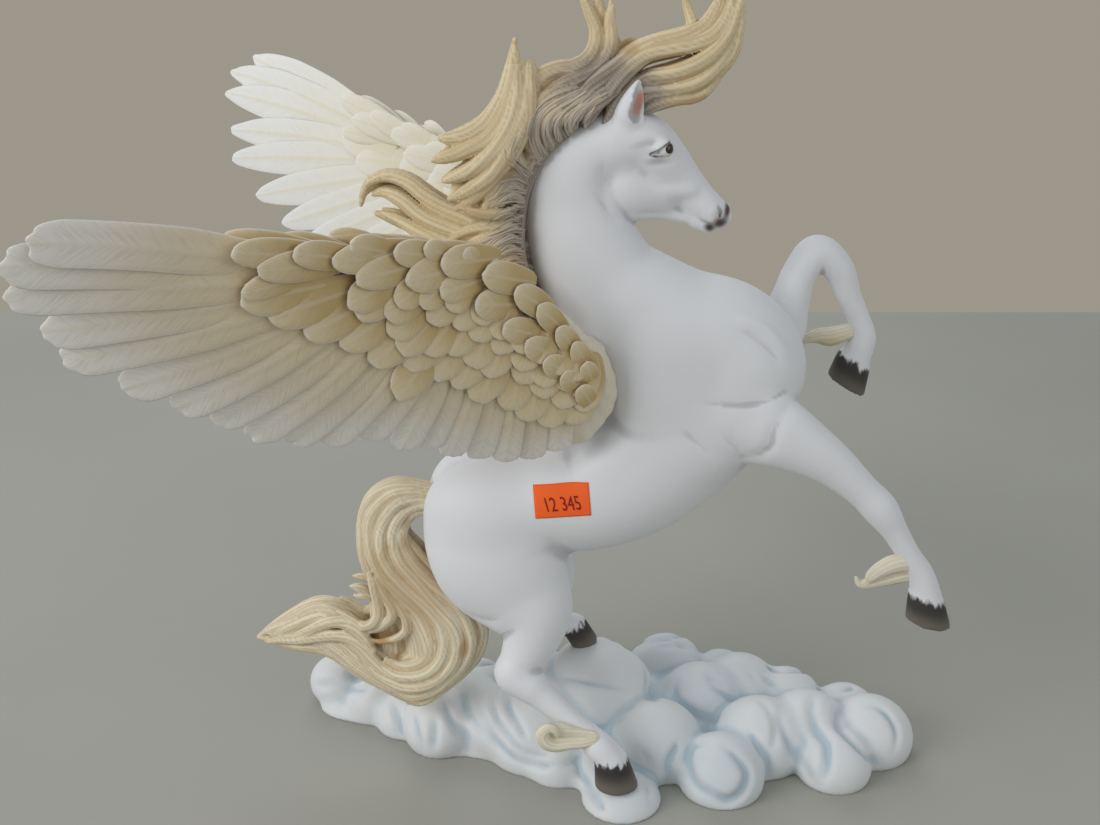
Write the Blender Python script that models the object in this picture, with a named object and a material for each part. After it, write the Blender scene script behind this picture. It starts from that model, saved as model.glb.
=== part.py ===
"""Winged horse figurine: a rearing horse on a cloud base, cast in pieces and glued.

The origin lies on the flat underside of the cloud base. +X is the way the horse faces,
-Y is the horse's right side and +Z is up. Sizes below are in millimetres; MM turns them
into Blender's metres. Each casting is modelled as overlapping lofts or puffs, fused into
one skin, smoothed and thinned. A casting that sits against another is then cut back by it,
so that a thin glue line is left between the two.
"""
import math

import bmesh
import bpy
import numpy as np
from mathutils import Vector
from mathutils.bvhtree import BVHTree

MM = 0.001

# Glue line between two castings
SEAM_GAP = 0.3

# Trunk: full width over the ribs, and the share of it that each station takes
BARREL_WIDTH = 50.0
TRUNK = [  # x, z, radius in the side view, share of the barrel's width
    (-27.4, 102.5, 20.6, 0.80), (-17.0, 111.8, 22.4, 0.92), (-1.9, 116.0, 21.6, 0.98),
    (13.2, 116.8, 22.9, 1.00), (29.6, 124.3, 25.2, 1.02), (45.2, 138.1, 26.8, 1.00),
    (57.8, 153.2, 27.0, 0.94), (68.1, 165.7, 22.9, 0.80),
]
WITHERS = [(3.7, 140.5, 11.1, 0.40), (18.2, 163.4, 13.1, 0.40), (22.2, 179.4, 14.3, 0.42)]
NECK = [
    (42.8, 163.4, 28.0, 0.86), (32.2, 181.3, 27.0, 0.76), (21.9, 195.8, 25.4, 0.66),
    (13.3, 209.6, 20.9, 0.56), (9.0, 222.3, 18.0, 0.48), (8.2, 233.5, 15.8, 0.45),
    (12.9, 242.0, 13.4, 0.42), (21.0, 246.1, 11.0, 0.40),
]

BREAST = [
    (30.0, 190.0, 20.0, 0.70), (48.0, 181.0, 23.5, 0.84), (62.0, 173.0, 26.0, 0.86),
    (68.0, 166.0, 24.5, 0.82),
]

# Head: full width between the cheeks
HEAD_WIDTH = 21.0
HEAD = [
    (24.4, 246.5, 10.2, 0.90), (30.5, 246.5, 10.3, 0.98), (35.7, 242.0, 10.0, 0.92),
    (41.8, 234.9, 8.8, 0.70), (48.2, 229.0, 7.0, 0.58), (52.8, 225.2, 6.0, 0.60),
    (56.8, 222.3, 5.1, 0.62),
]
CHEEK = [(24.0, 236.5, 7.0, 0.80), (30.2, 233.2, 12.0, 0.92), (38.0, 229.5, 7.5, 0.70)]
CHIN = [(51.3, 219.7, 3.3, 0.42), (53.8, 218.4, 3.0, 0.42)]
BROW = (37.5, 8.2, 246.8, 3.0)
EAR_LENGTH = 17.0
EAR_BASE = (25.4, 6.0, 252.0)
EAR_LEAN = (0.27, 0.12, 0.95)
EAR_SECTION = [(0.0, 3.4), (0.3, 4.1), (0.65, 2.9), (0.9, 1.3), (1.0, 0.6)]

# Hooves: y, centre of the coronet x, z and its reach towards the toe x, z, then the same
# two pairs for the sole, and the share of the common width
HOOF_WIDTH = 14.6
HOOVES = {
    "near_hind": (-37.0, (23.0, 22.0), (6.3, 0.4), (25.4, 9.5), (8.3, 0.0), 1.0),
    "far_hind": (23.0, (9.5, 44.0), (4.4, 3.2), (15.0, 34.5), (5.4, 1.4), 0.75),
    "near_fore": (-23.0, (139.0, 83.8), (6.7, 0.4), (140.9, 72.8), (8.0, -3.4), 1.0),
    "far_fore": (23.5, (115.8, 159.6), (7.0, -1.4), (113.4, 149.4), (5.8, -6.0), 1.0),
}
PASTERN_SHARE = 0.84

# Legs: centre line x, y, z, then radius in the side view and half of the width across.
# Each ends in its hoof's coronet. A limb on the near side has y below zero
LEGS = {
    "near_hind": [
        (-13.0, -24, 50.4, 6.8, 6.2), (-7.6, -26, 46.9, 6.2, 6.0), (0.8, -29, 40.4, 5.2, 5.0),
        (9.1, -32, 34.0, 4.5, 4.5), (15.1, -34, 29.1, 5.0, 4.9), (18.9, -36, 25.8, 5.7, 5.8),
    ],
    "far_hind": [
        (-8.2, 20, 46.5, 6.8, 6.0), (-2.0, 21, 43.0, 5.6, 5.0), (4.5, 22, 44.2, 4.8, 4.8),
    ],
    "near_fore": [
        (56.0, -12, 152.0, 15.0, 11), (66.0, -14, 150.0, 15.0, 11), (78.0, -17, 148.0, 13.6, 10.5),
        (91.5, -19, 141.5, 10.0, 9.0), (102.0, -20, 134.6, 7.8, 7.6), (112.0, -21, 125.8, 6.2, 6.4),
        (118.8, -22, 119.0, 6.4, 6.4), (124.6, -22.5, 110.8, 4.8, 5.0), (130.6, -23, 101.2, 4.3, 4.6),
        (136.0, -23, 92.6, 4.9, 5.2),
    ],
    "far_fore": [
        (60.0, 13, 158.0, 15.0, 11), (72.9, 16, 165.6, 14.3, 11), (84.5, 18.5, 172.0, 10.4, 9.5),
        (88.8, 20, 183.3, 7.4, 8), (91.9, 21, 194.0, 6.4, 7), (98.2, 22, 201.8, 6.8, 6.8),
        (106.5, 22.5, 196.0, 5.7, 6), (111.2, 23, 185.9, 4.7, 5), (115.8, 23.5, 176.7, 4.2, 4.6),
        (118.2, 23.5, 168.6, 5.0, 5.3),
    ],
}
THIGHS = [
    [
        (-21.0, -10, 107.0, 23.6, 14), (-20.0, -12, 95.0, 25.0, 15), (-12.5, -14, 83.0, 20.0, 13),
        (-6.0, -16, 74.0, 14.4, 12), (-6.8, -19, 64.4, 10.8, 9.5), (-11.0, -22, 54.9, 8.2, 7.5),
        (-13.6, -24, 50.9, 7.4, 7.0), (-7.6, -26, 46.9, 6.4, 6.2),
    ],
    [
        (-21.0, 10, 104.0, 22.6, 14), (-18.0, 12, 92.0, 23.0, 14), (-9.0, 14, 79.5, 18.5, 12),
        (-3.5, 16, 68.4, 13.0, 11), (-4.6, 18, 56.5, 9.8, 9), (-8.2, 20, 47.5, 7.6, 7),
        (-3.0, 20.5, 43.0, 6.2, 5.6),
    ],
]

# Muscles that stand out of the fused lofts: x, y, z, radii along x, y, z
MUSCLES = [
    (69.0, 10.0, 162.0, 17.0, 12.0, 19.0), (52.0, 13.0, 140.0, 17.0, 10.0, 12.0),
    (40.0, 15.0, 166.0, 17.0, 8.0, 22.0), (-24.5, 9.0, 113.5, 21.0, 14.0, 17.0),
]

# Hair tufts at the fetlocks
TUFTS = {
    "near_fore": [
        (135.0, -23, 92.0, 3.0, 3.0), (127.4, -23, 95.6, 4.0, 3.4), (121.0, -23, 93.7, 3.4, 2.8),
        (116.2, -23, 90.6, 1.8, 1.6), (114.5, -22, 91.1, 0.9, 0.9),
    ],
    "far_fore": [
        (116.0, 23, 170.4, 2.8, 3.0), (110.0, 23, 169.0, 3.0, 2.8), (104.6, 23, 168.6, 2.6, 2.4),
        (101.0, 23, 168.2, 1.6, 1.5), (99.4, 23, 167.8, 0.8, 0.8),
    ],
    "near_hind": [
        (17.0, -37, 26.1, 3.2, 3.6), (10.0, -40, 28.6, 3.2, 3.2), (3.0, -42, 29.6, 3.0, 2.6),
        (-1.8, -44, 32.6, 2.4, 2.0), (-3.7, -43, 35.8, 1.4, 1.2),
    ],
    "far_hind": [(9.5, 23, 42.3, 3.0, 3.0), (4.2, 24, 39.3, 3.0, 2.6), (-0.8, 25, 36.8, 2.1, 1.8)],
}

# Near wing, drawn on the -Y side. The arm is the leading edge; the tip line carries the
# flight feathers' ends. The far wing is its mirror image, turned up about the shoulder
WING_ARM = [
    (20.0, -18, 162.0), (14.5, -25, 177.0), (1.7, -33, 192.1), (-14.4, -42, 208.5),
    (-29.6, -50, 218.3), (-45.5, -60, 222.9), (-67.2, -74, 226.7), (-85.8, -88, 229.9),
]
WING_TIPS = [
    (10.0, -25, 149.0), (-3.5, -28, 142.7), (-15.6, -32, 143.2), (-27.3, -37, 146.4),
    (-40.2, -44, 152.8), (-54.0, -52, 158.1), (-72.2, -60, 161.2), (-93.6, -70, 167.2),
    (-110.0, -80, 180.0), (-125.2, -88, 190.2), (-137.5, -98, 203.1), (-143.0, -106, 217.0),
    (-144.5, -112, 231.0), (-134.5, -114, 243.9),
]
FAR_WING_LIFT = 7.3
SHOULDER = (16.0, 25.0, 172.0)
ARM_RADIUS = 6.4
ARM_FLATNESS = 0.8
ARM_TAPER = 0.52
FEATHER_THICKNESS = 2.4
FLIGHT_FEATHERS = 19
FEATHER_WIDTH = 14.5
COVERT_WIDTH = 13.0
FAN = 2.2
CAMBER = 5.0
# Rows of covert feathers, laid over the flight feathers on both faces of the wing
COVERT_FEATHERS = (13, 12, 11)
COVERT_ROWS = [  # start and end along the chord, step out of the wing's face
    (0.24, 0.58, 1.0), (0.12, 0.41, 1.9), (0.02, 0.27, 2.8),
]
COVERT_CROWDING = 0.9
# Share of the chord that the rows give up towards the wing tip, and where that begins
COVERT_DRAW_IN = 0.60
DRAW_IN_FROM = 0.3
# A flight feather's width beside the body, and how much narrower it is at the wing tip
INNER_WIDTH_SHARE = 1.15
WIDTH_LOSS = 0.3
# A blade: share of its length where the tip starts to round off, how narrow the root is,
# how thin the tip is, and how far one edge stands up over its neighbour
BLADE_ROUND_FROM = 0.72
BLADE_ROUND_LENGTH = 0.29
BLADE_ROOT_SHARE = 0.8
BLADE_TIP_THINNING = 0.25
BLADE_TILT = 0.10
BLADE_ROOT_RISE = 0.2
ROOT_PAD = [  # x, y, z, radius in the side view: the wing's flange where it meets the body
    (19, -19.0, 172, 8), (17, -18.5, 162, 10), (12, -18.5, 151, 8),
]
ROOT_DEPTH = 6.5

# Mane: locks as centre line x, y, z and radius in the side view
MANE_DEPTH = 0.8
MANE = {
    "forelock_upper": [
        (9, 0, 250, 5.0), (13, 0, 257, 5.0), (20, -1, 267, 5.3), (30, -2, 276, 4.9),
        (43, -2, 279, 4.3), (52, -1, 283, 3.6), (58, 0, 291, 2.4), (60, 1, 296, 1.0),
    ],
    "forelock_lower": [
        (16, -1, 253, 4.6), (21, -2, 258, 4.6), (30, -3, 264, 5.0), (40, -4, 266, 5.2),
        (50, -4, 269, 4.9), (58, -3, 275, 4.1), (61, -2, 284, 3.1), (63, 1, 296, 1.0),
    ],
    "forelock_flick": [(44, 0, 276, 3.2), (47, 1, 285, 2.2), (46, 2, 291, 1.5), (45, 3, 295, 0.9)],
    "rising_plume": [
        (3, 0, 256, 5.2), (10, 1, 267, 5.3), (16, 2, 275, 4.3), (17, 2, 283, 3.1),
        (16, 1, 291, 2.3), (15, 0, 299, 1.0),
    ],
    "rising_flick": [(17, 1, 281, 2.8), (13, 0, 289, 2.1), (10, -2, 295, 1.0)],
    "far_plume": [(15, 5, 254, 4.6), (19, 6, 262, 4.3), (23, 8, 272, 3.9), (22, 9, 283, 1.2)],
    "arch": [(14, 1, 269, 3.6), (4, 0, 271, 3.6), (-3, -2, 269, 3.9), (-9, -4, 263, 3.9)],
    "swept_plume": [
        (-12, -4, 281, 1.0), (-10, -5, 272, 3.4), (-10, -6, 261, 4.8), (-14, -8, 252, 5.8),
        (-21, -10, 244, 6.6), (-29, -12, 235, 5.0), (-33, -13, 228, 1.5),
    ],
    "swept_fan": [
        (-11, -5, 264, 3.4), (-17, -6, 255, 4.4), (-27, -7, 248, 4.7), (-35, -8, 245, 4.0),
        (-39, -8, 241, 1.5),
    ],
    "swept_inner": [
        (0, -3, 264, 3.6), (-5, -6, 257, 3.8), (-11, -9, 248, 4.0), (-19, -11, 238, 3.2),
        (-27, -13, 229, 1.2),
    ],
    "crest": [
        (22, 0, 255, 5.0), (8, 0, 254, 7.6), (-2, 0, 246, 8.6), (-9, 0, 234, 8.6),
        (-11, 0, 221, 8.2), (-11, 0, 209, 8.0), (-6, 0, 196, 7.6), (2, 0, 184, 6.2),
        (10, 0, 177, 4.0),
    ],
    "crest_near": [
        (10, -8, 251, 4.2), (1, -9, 243, 5.2), (-5, -9, 232, 5.6), (-7, -9, 219, 5.4),
        (-6, -9, 207, 5.0), (-3, -10, 197, 3.6),
    ],
    "crest_far": [
        (10, 8, 251, 4.2), (1, 9, 243, 5.2), (-5, 9, 232, 5.6), (-7, 9, 219, 5.4),
        (-6, 9, 207, 5.0), (-3, 10, 197, 3.6),
    ],
    "flank_upper": [
        (-10, 0, 226, 5.0), (-24, 3, 218, 5.8), (-39, 6, 221, 6.3), (-51, 9, 228, 5.3),
        (-60, 11, 231, 3.0), (-67, 12, 225, 1.2),
    ],
    "flank_middle": [
        (-10, 0, 218, 4.6), (-25, 2, 213, 5.0), (-39, 5, 215, 4.4), (-51, 7, 217, 3.0),
        (-61, 8, 220, 1.2),
    ],
    "flank_lower": [
        (-10, -2, 210, 4.6), (-24, -3, 209, 4.0), (-36, -4, 210, 3.3), (-46, -4, 212, 2.3),
        (-54, -4, 214, 1.0),
    ],
    "withers_upper": [(-8, -3, 201, 4.8), (-19, -8, 205, 3.8), (-28, -11, 209, 2.9), (-34, -12, 211, 1.2)],
    "withers_lower": [(0, -4, 189, 4.6), (-10, -9, 196, 3.9), (-19, -13, 202, 2.7), (-24, -15, 206, 1.2)],
    "far_upper": [
        (3, 5, 256, 4.8), (-7, 10, 248, 5.0), (-18, 14, 237, 5.0), (-26, 17, 223, 3.8),
        (-30, 18, 211, 1.3),
    ],
    "far_lower": [(-9, 6, 225, 4.8), (-18, 11, 215, 4.6), (-25, 14, 201, 3.5), (-29, 15, 190, 1.3)],
}

# Tail: locks as centre line x, y, z, radius in the side view and half of the depth
TAIL = {
    "main": [
        (-36, 0, 107, 4.4, 4.4), (-46, 0, 111, 4.6, 4.6), (-57, 0, 112, 6.6, 6.2),
        (-63, -1, 105, 8.0, 7.4), (-64, -2, 94, 8.8, 9.0), (-59, -3, 81, 10.2, 10.0),
        (-51, -4, 69, 12.8, 11.0), (-44, -5, 56, 14.8, 12.0), (-46, -5, 44, 13.8, 11.4),
        (-58, -4, 37.5, 10.8, 10.0), (-73, -2, 44, 10.2, 9.0), (-87, 0, 53, 9.4, 8.0),
        (-102, 2, 56, 6.8, 6.0), (-115, 4, 49, 1.6, 1.6),
    ],
    "curl_back": [
        (-67, -6, 81, 3.4, 3.4), (-66, -8, 72, 4.0, 3.6), (-62, -9, 64, 4.8, 4.0),
        (-70, -8, 59, 4.8, 4.0), (-80, -5, 62, 3.0, 2.6),
    ],
    "flick": [(-66, -5, 78, 3.4, 3.0), (-74, -2, 75, 2.5, 2.2), (-78, 0, 75, 1.1, 1.1)],
    "heel": [
        (-33, -6, 64, 6.0, 6.0), (-28, -6, 52, 5.0, 6.0), (-32, -5, 38, 5.0, 6.0),
        (-44, -4, 30, 5.0, 6.0), (-56, -3, 29, 3.6, 5.0),
    ],
}

# Cloud base: puffs as centre x, y, z and radius. The underside is cut flat at z = 0
PUFFS = [
    (-91.7, 35.9, 8, 12.0), (-74.3, 24.5, 6, 11.4), (-84.0, 46.0, 5, 12.0), (-45.0, 4.0, 8, 15.4),
    (-33.4, 15.0, 10, 14.0), (-60.0, 16.0, 3, 13.0), (-6.1, -1.6, 6, 20.0), (-20.4, 3.0, 10, 16.0),
    (66.8, -24.4, 5, 17.0), (112.2, -17.5, 5, 15.0), (130.0, -0.5, 6, 17.5), (104.2, -1.2, 10, 16.5),
    (81.0, 28.3, 8, 17.0), (63.8, 19.3, 8, 18.0), (100.2, 24.0, 6, 15.0), (51.5, 47.0, 6, 17.0),
    (22.7, 13.3, 18, 20.0), (42.3, -9.0, 8, 19.0), (84.6, -6.4, 8, 18.5), (16.9, 28.8, 13, 16.0),
    (-4.0, 27.0, 8, 19.0), (20.0, 44.0, 5, 18.0), (-32.0, 32.0, 4, 16.0), (-58.0, 34.0, 2, 14.0),
    (124.0, 18.0, 3, 14.0), (75.0, 44.0, 3, 14.0), (5.0, 8.0, 6, 20.0), (4.0, -14.0, 3, 14.0),
    (20.0, -19.0, 2, 13.0),
]
PUFF_SQUASH = 0.92

# Flat heart of the base that closes the gaps between the puffs: x, y, then radii x, y, z
HEART = [
    (-68, 27, 30, 13, 9), (-15, 14, 44, 24, 14), (45, 14, 48, 34, 15), (98, 8, 38, 24, 13),
]
HOOF_PUFF_RADIUS = 15.5
HOOF_PUFF_SQUASH = 0.75
HOOF_SINK = 1.2
HOOF_PUFF_FORWARD = 2.0
HOOF_PUFF_INWARD = 0.9
# Block that cuts the underside flat
TABLE_LENGTH = 400.0
TABLE_HEIGHT = 100.0

# Price label on the near flank
LABEL_LENGTH = 20.0
LABEL_WIDTH = 11.5
LABEL_THICKNESS = 0.25
LABEL_LIFT = 0.5
LABEL_CENTRE = (4.3, 122.8)
LABEL_TURN = 4.8
LABEL_GRID = (8, 4)
# How far out the label is held before it is pressed on, beside the horse and off its skin
LABEL_HELD_OUT = 90.0
LABEL_PRESS = 20.0

# Skins: width of the fusing grid, passes of smoothing and triangles left on each casting
SKIN_GRID = 1.1
FEATHER_GRID = 0.9
SKIN_PASSES = 4
WING_PASSES = 1
MANE_PASSES = 2
SOFT_PASSES = 3
HORSE_FACES = 3320
WING_FACES = 2580
MANE_FACES = 1290
TAIL_FACES = 560
BASE_FACES = 950

COLOURS = {
    "horse_body": (0.80, 0.80, 0.82, 1.0), "right_wing": (0.72, 0.66, 0.50, 1.0),
    "left_wing": (0.82, 0.80, 0.72, 1.0), "mane": (0.76, 0.68, 0.46, 1.0),
    "tail": (0.76, 0.68, 0.46, 1.0), "cloud_base": (0.76, 0.82, 0.88, 1.0),
    "price_label": (1.0, 0.20, 0.04, 1.0),
}


def clear_scene():
    """Remove what the file opened with."""
    for old in list(bpy.data.objects):
        bpy.data.objects.remove(old, do_unlink=True)


def smooth_stations(stations, per_span=4):
    """Catmull-Rom curve through the stations, every column carried along."""
    rows = np.array(stations, dtype=float)
    padded = np.vstack([2 * rows[0] - rows[1], rows, 2 * rows[-1] - rows[-2]])
    out = []
    for i in range(len(rows) - 1):
        a, b, c, d = padded[i:i + 4]
        for t in np.arange(per_span) / per_span:
            out.append(0.5 * (2 * b + (c - a) * t + (2 * a - 5 * b + 4 * c - d) * t ** 2
                              + (3 * b - a - 3 * c + d) * t ** 3))
    out.append(rows[-1])
    return np.array(out)


def add_rings(bm, centres, across, depth, sides=14):
    """Closed body of elliptical rings. across and depth hold each ring's two half axes."""
    rings = []
    for centre, first, second in zip(centres, across, depth):
        ring = []
        for k in range(sides):
            turn = 2 * math.pi * k / sides
            point = centre + first * math.cos(turn) + second * math.sin(turn)
            ring.append(bm.verts.new(point * MM))
        rings.append(ring)
    for low, high in zip(rings, rings[1:]):
        for k in range(sides):
            n = (k + 1) % sides
            bm.faces.new((low[k], low[n], high[n], high[k]))
    bm.faces.new(rings[0][::-1])
    bm.faces.new(rings[-1])


def add_loft(bm, stations, sides=16):
    """Rounded limb through stations of x, y, z, side radius and half width across."""
    rows = smooth_stations(stations)
    rows[:, 3:] = np.maximum(rows[:, 3:], 0.4)
    tangent = np.gradient(rows[:, :3], axis=0)
    tangent /= np.linalg.norm(tangent, axis=1)[:, None]
    width_axis = np.array([0.0, 1.0, 0.0]) - tangent * tangent[:, 1:2]
    width_axis /= np.linalg.norm(width_axis, axis=1)[:, None]
    side_axis = np.cross(tangent, width_axis)
    centres, across, depth = [], [], []
    cap = [(0.97, 0.25), (0.86, 0.5), (0.64, 0.76), (0.34, 0.94)]
    for share, out in reversed(cap):
        centres.append(rows[0, :3] - tangent[0] * rows[0, 3:].min() * out)
        across.append(side_axis[0] * rows[0, 3] * share)
        depth.append(width_axis[0] * rows[0, 4] * share)
    for i, row in enumerate(rows):
        centres.append(row[:3])
        across.append(side_axis[i] * row[3])
        depth.append(width_axis[i] * row[4])
    for share, out in cap:
        centres.append(rows[-1, :3] + tangent[-1] * rows[-1, 3:].min() * out)
        across.append(side_axis[-1] * rows[-1, 3] * share)
        depth.append(width_axis[-1] * rows[-1, 4] * share)
    add_rings(bm, centres, across, depth, sides)


def add_ball(bm, centre, radii):
    """Ellipsoid, such as a muscle or a puff of cloud."""
    ball = bmesh.ops.create_uvsphere(bm, u_segments=20, v_segments=12, radius=1.0)
    for vert in ball["verts"]:
        vert.co = Vector([(c + v * r) * MM for c, v, r in zip(centre, vert.co, radii)])


def add_hoof(bm, hoof):
    """Hoof capsule: long at the toe, short at the heel, wider at the flat sole."""
    y, coronet, coronet_reach, sole, sole_reach, share = hoof
    top = np.array([coronet[0], y, coronet[1]])
    top_reach = np.array([coronet_reach[0], 0.0, coronet_reach[1]])
    bottom = np.array([sole[0], y, sole[1]])
    bottom_reach = np.array([sole_reach[0], 0.0, sole_reach[1]])
    centres, across, depth = [], [], []
    for down in (-0.12, 0.0, 0.5, 0.85, 1.0):
        flare = 0.86 + 0.14 * down
        centres.append(top + (bottom - top) * down)
        across.append(top_reach + (bottom_reach - top_reach) * down)
        depth.append(np.array([0.0, HOOF_WIDTH / 2 * share * flare, 0.0]))
    add_rings(bm, centres, across, depth, 18)


def limb_to_hoof(name):
    """The leg's stations with the pastern carried down into the hoof."""
    y, coronet, reach, sole, _, share = HOOVES[name]
    radius = math.hypot(*reach) * PASTERN_SHARE
    end = (coronet[0], y, coronet[1], radius, HOOF_WIDTH / 2 * share * PASTERN_SHARE)
    return LEGS[name] + [end]


def add_ear(bm, side):
    """Pricked ear, wide at its lower third and pointed."""
    base = np.array(EAR_BASE) * (1, side, 1)
    lean = np.array(EAR_LEAN) * (1, side, 1)
    rows = []
    for up, radius in EAR_SECTION:
        rows.append((*(base + lean * EAR_LENGTH * up), radius, radius * 0.75))
    add_loft(bm, rows, 12)


def new_object(name, mesh):
    """Put a mesh in the scene under the sub-part's name, with its own material."""
    obj = bpy.data.objects.new(name, mesh)
    bpy.context.collection.objects.link(obj)
    if name in COLOURS:
        material = bpy.data.materials.new(name)
        material.use_nodes = True
        shader = material.node_tree.nodes["Principled BSDF"]
        shader.inputs["Base Color"].default_value = COLOURS[name]
        shader.inputs["Roughness"].default_value = 0.62
        shader.inputs["Metallic"].default_value = 0.0
        mesh.materials.clear()
        mesh.materials.append(material)
    return obj


def mesh_of(bm, name):
    """Turn the drawing into a mesh with its faces pointing out."""
    bmesh.ops.recalc_face_normals(bm, faces=bm.faces)
    mesh = bpy.data.meshes.new(name)
    bm.to_mesh(mesh)
    bm.free()
    return mesh


def apply_modifiers(obj):
    """Replace the object's mesh by what its modifiers make of it."""
    depsgraph = bpy.context.evaluated_depsgraph_get()
    baked = bpy.data.meshes.new_from_object(obj.evaluated_get(depsgraph))
    obj.modifiers.clear()
    obj.data = baked


def keep_largest_island(obj):
    """Drop crumbs that a cut leaves beside the casting."""
    bm = bmesh.new()
    bm.from_mesh(obj.data)
    left = set(bm.verts)
    islands = []
    while left:
        stack = [left.pop()]
        island = list(stack)
        while stack:
            for edge in stack.pop().link_edges:
                for vert in edge.verts:
                    if vert in left:
                        left.remove(vert)
                        stack.append(vert)
                        island.append(vert)
        islands.append(island)
    islands.sort(key=len)
    crumbs = [vert for island in islands[:-1] for vert in island]
    bmesh.ops.delete(bm, geom=crumbs, context="VERTS")
    bm.to_mesh(obj.data)
    bm.free()


def fuse(obj, grid, passes, faces):
    """Fuse the overlapping forms into one skin, smooth it and thin its triangles."""
    remesh = obj.modifiers.new("fuse", "REMESH")
    remesh.mode = "VOXEL"
    remesh.voxel_size = grid * MM
    smooth = obj.modifiers.new("smooth", "SMOOTH")
    smooth.iterations = passes
    smooth.factor = 0.5
    apply_modifiers(obj)
    keep_largest_island(obj)
    thin = obj.modifiers.new("thin", "DECIMATE")
    thin.ratio = min(1.0, faces / (2.0 * len(obj.data.polygons)))
    apply_modifiers(obj)
    obj.data.shade_smooth()


def cut(obj, cutter):
    """Take one solid out of another and keep the casting itself."""
    boolean = obj.modifiers.new("cut", "BOOLEAN")
    boolean.operation = "DIFFERENCE"
    boolean.object = cutter
    apply_modifiers(obj)
    keep_largest_island(obj)


def clearance(source):
    """Hidden cutter: the neighbour's surface moved out by the glue line."""
    cutter = new_object(source.name + "_clearance", source.data.copy())
    swell = cutter.modifiers.new("swell", "DISPLACE")
    swell.mid_level = 0.0
    swell.strength = SEAM_GAP * MM
    apply_modifiers(cutter)
    cutter.hide_render = True
    cutter.display_type = "WIRE"
    return cutter


def make_horse():
    """Trunk, neck, head, legs and hooves in one casting."""
    bm = bmesh.new()
    for line, width in ((TRUNK, BARREL_WIDTH), (WITHERS, BARREL_WIDTH), (NECK, BARREL_WIDTH),
                        (BREAST, BARREL_WIDTH), (HEAD, HEAD_WIDTH), (CHEEK, HEAD_WIDTH),
                        (CHIN, HEAD_WIDTH)):
        add_loft(bm, [(x, 0, z, radius, share * width / 2) for x, z, radius, share in line], 24)
    for thigh in THIGHS:
        add_loft(bm, thigh)
    for name, hoof in HOOVES.items():
        add_loft(bm, limb_to_hoof(name))
        add_hoof(bm, hoof)
    for tuft in TUFTS.values():
        add_loft(bm, tuft, 10)
    for side in (-1, 1):
        add_ear(bm, side)
        x, y, z, radius = BROW
        add_ball(bm, (x, y * side, z), (radius, radius * 0.8, radius * 0.8))
        for x, y, z, rx, ry, rz in MUSCLES:
            add_ball(bm, (x, y * side, z), (rx, ry, rz))
    horse = new_object("horse_body", mesh_of(bm, "horse_body"))
    fuse(horse, SKIN_GRID, SKIN_PASSES, HORSE_FACES)
    return horse


def wing_lines():
    """Functions that give a point of the arm and of the tip line for a share 0 to 1."""
    lines = []
    for points in (WING_ARM, WING_TIPS):
        rows = smooth_stations(points, 8)
        steps = np.linalg.norm(np.diff(rows, axis=0), axis=1)
        length = np.concatenate([[0.0], np.cumsum(steps)])
        lines.append((length / length[-1], rows))
    return lines


def wing_point(lines, spread, chord):
    """Point on the wing's middle surface. spread runs along the tips, chord from the arm."""
    (arm_share, arm), (tip_share, tips) = lines
    at = 1.0 - (1.0 - spread) ** FAN
    root = np.array([np.interp(at, arm_share, arm[:, i]) for i in range(3)])
    tip = np.array([np.interp(spread, tip_share, tips[:, i]) for i in range(3)])
    return root + (tip - root) * chord, at


def wing_normal(lines, spread, chord):
    """Direction out of the wing's near face."""
    a, _ = wing_point(lines, max(spread - 0.02, 0.0), chord)
    b, _ = wing_point(lines, min(spread + 0.02, 1.0), chord)
    c, _ = wing_point(lines, spread, max(chord - 0.05, 0.0))
    d, _ = wing_point(lines, spread, min(chord + 0.05, 1.0))
    normal = np.cross(b - a, d - c)
    normal /= np.linalg.norm(normal)
    return normal if normal[1] < 0 else -normal


def add_feather(bm, lines, spread, start, end, width, lift, face):
    """One blade along the chord, thin, with a rounded tip."""
    centres, across, depth = [], [], []
    for along in (0.0, 0.25, 0.5, 0.72, 0.86, 0.95, 1.0):
        chord = start + (end - start) * along
        point, _ = wing_point(lines, spread, chord)
        ahead, _ = wing_point(lines, spread, chord + 0.05)
        normal = wing_normal(lines, spread, min(chord, 0.95))
        direction = (ahead - point) / np.linalg.norm(ahead - point)
        side = np.cross(normal, direction)
        belly = CAMBER * 4 * chord * (1 - chord)
        rise = lift * (BLADE_ROOT_RISE + (1 - BLADE_ROOT_RISE) * along) * face
        beyond = max(along - BLADE_ROUND_FROM, 0.0) / BLADE_ROUND_LENGTH
        round_off = math.sqrt(max(1.0 - beyond ** 2, 0.05))
        spread_out = BLADE_ROOT_SHARE + (1 - BLADE_ROOT_SHARE) * along
        centres.append(point + normal * (belly + rise))
        across.append((side + normal * BLADE_TILT) * width / 2 * spread_out * round_off)
        depth.append(normal * FEATHER_THICKNESS / 2 * (1.0 - BLADE_TIP_THINNING * along))
    add_rings(bm, centres, across, depth, 8)


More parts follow.
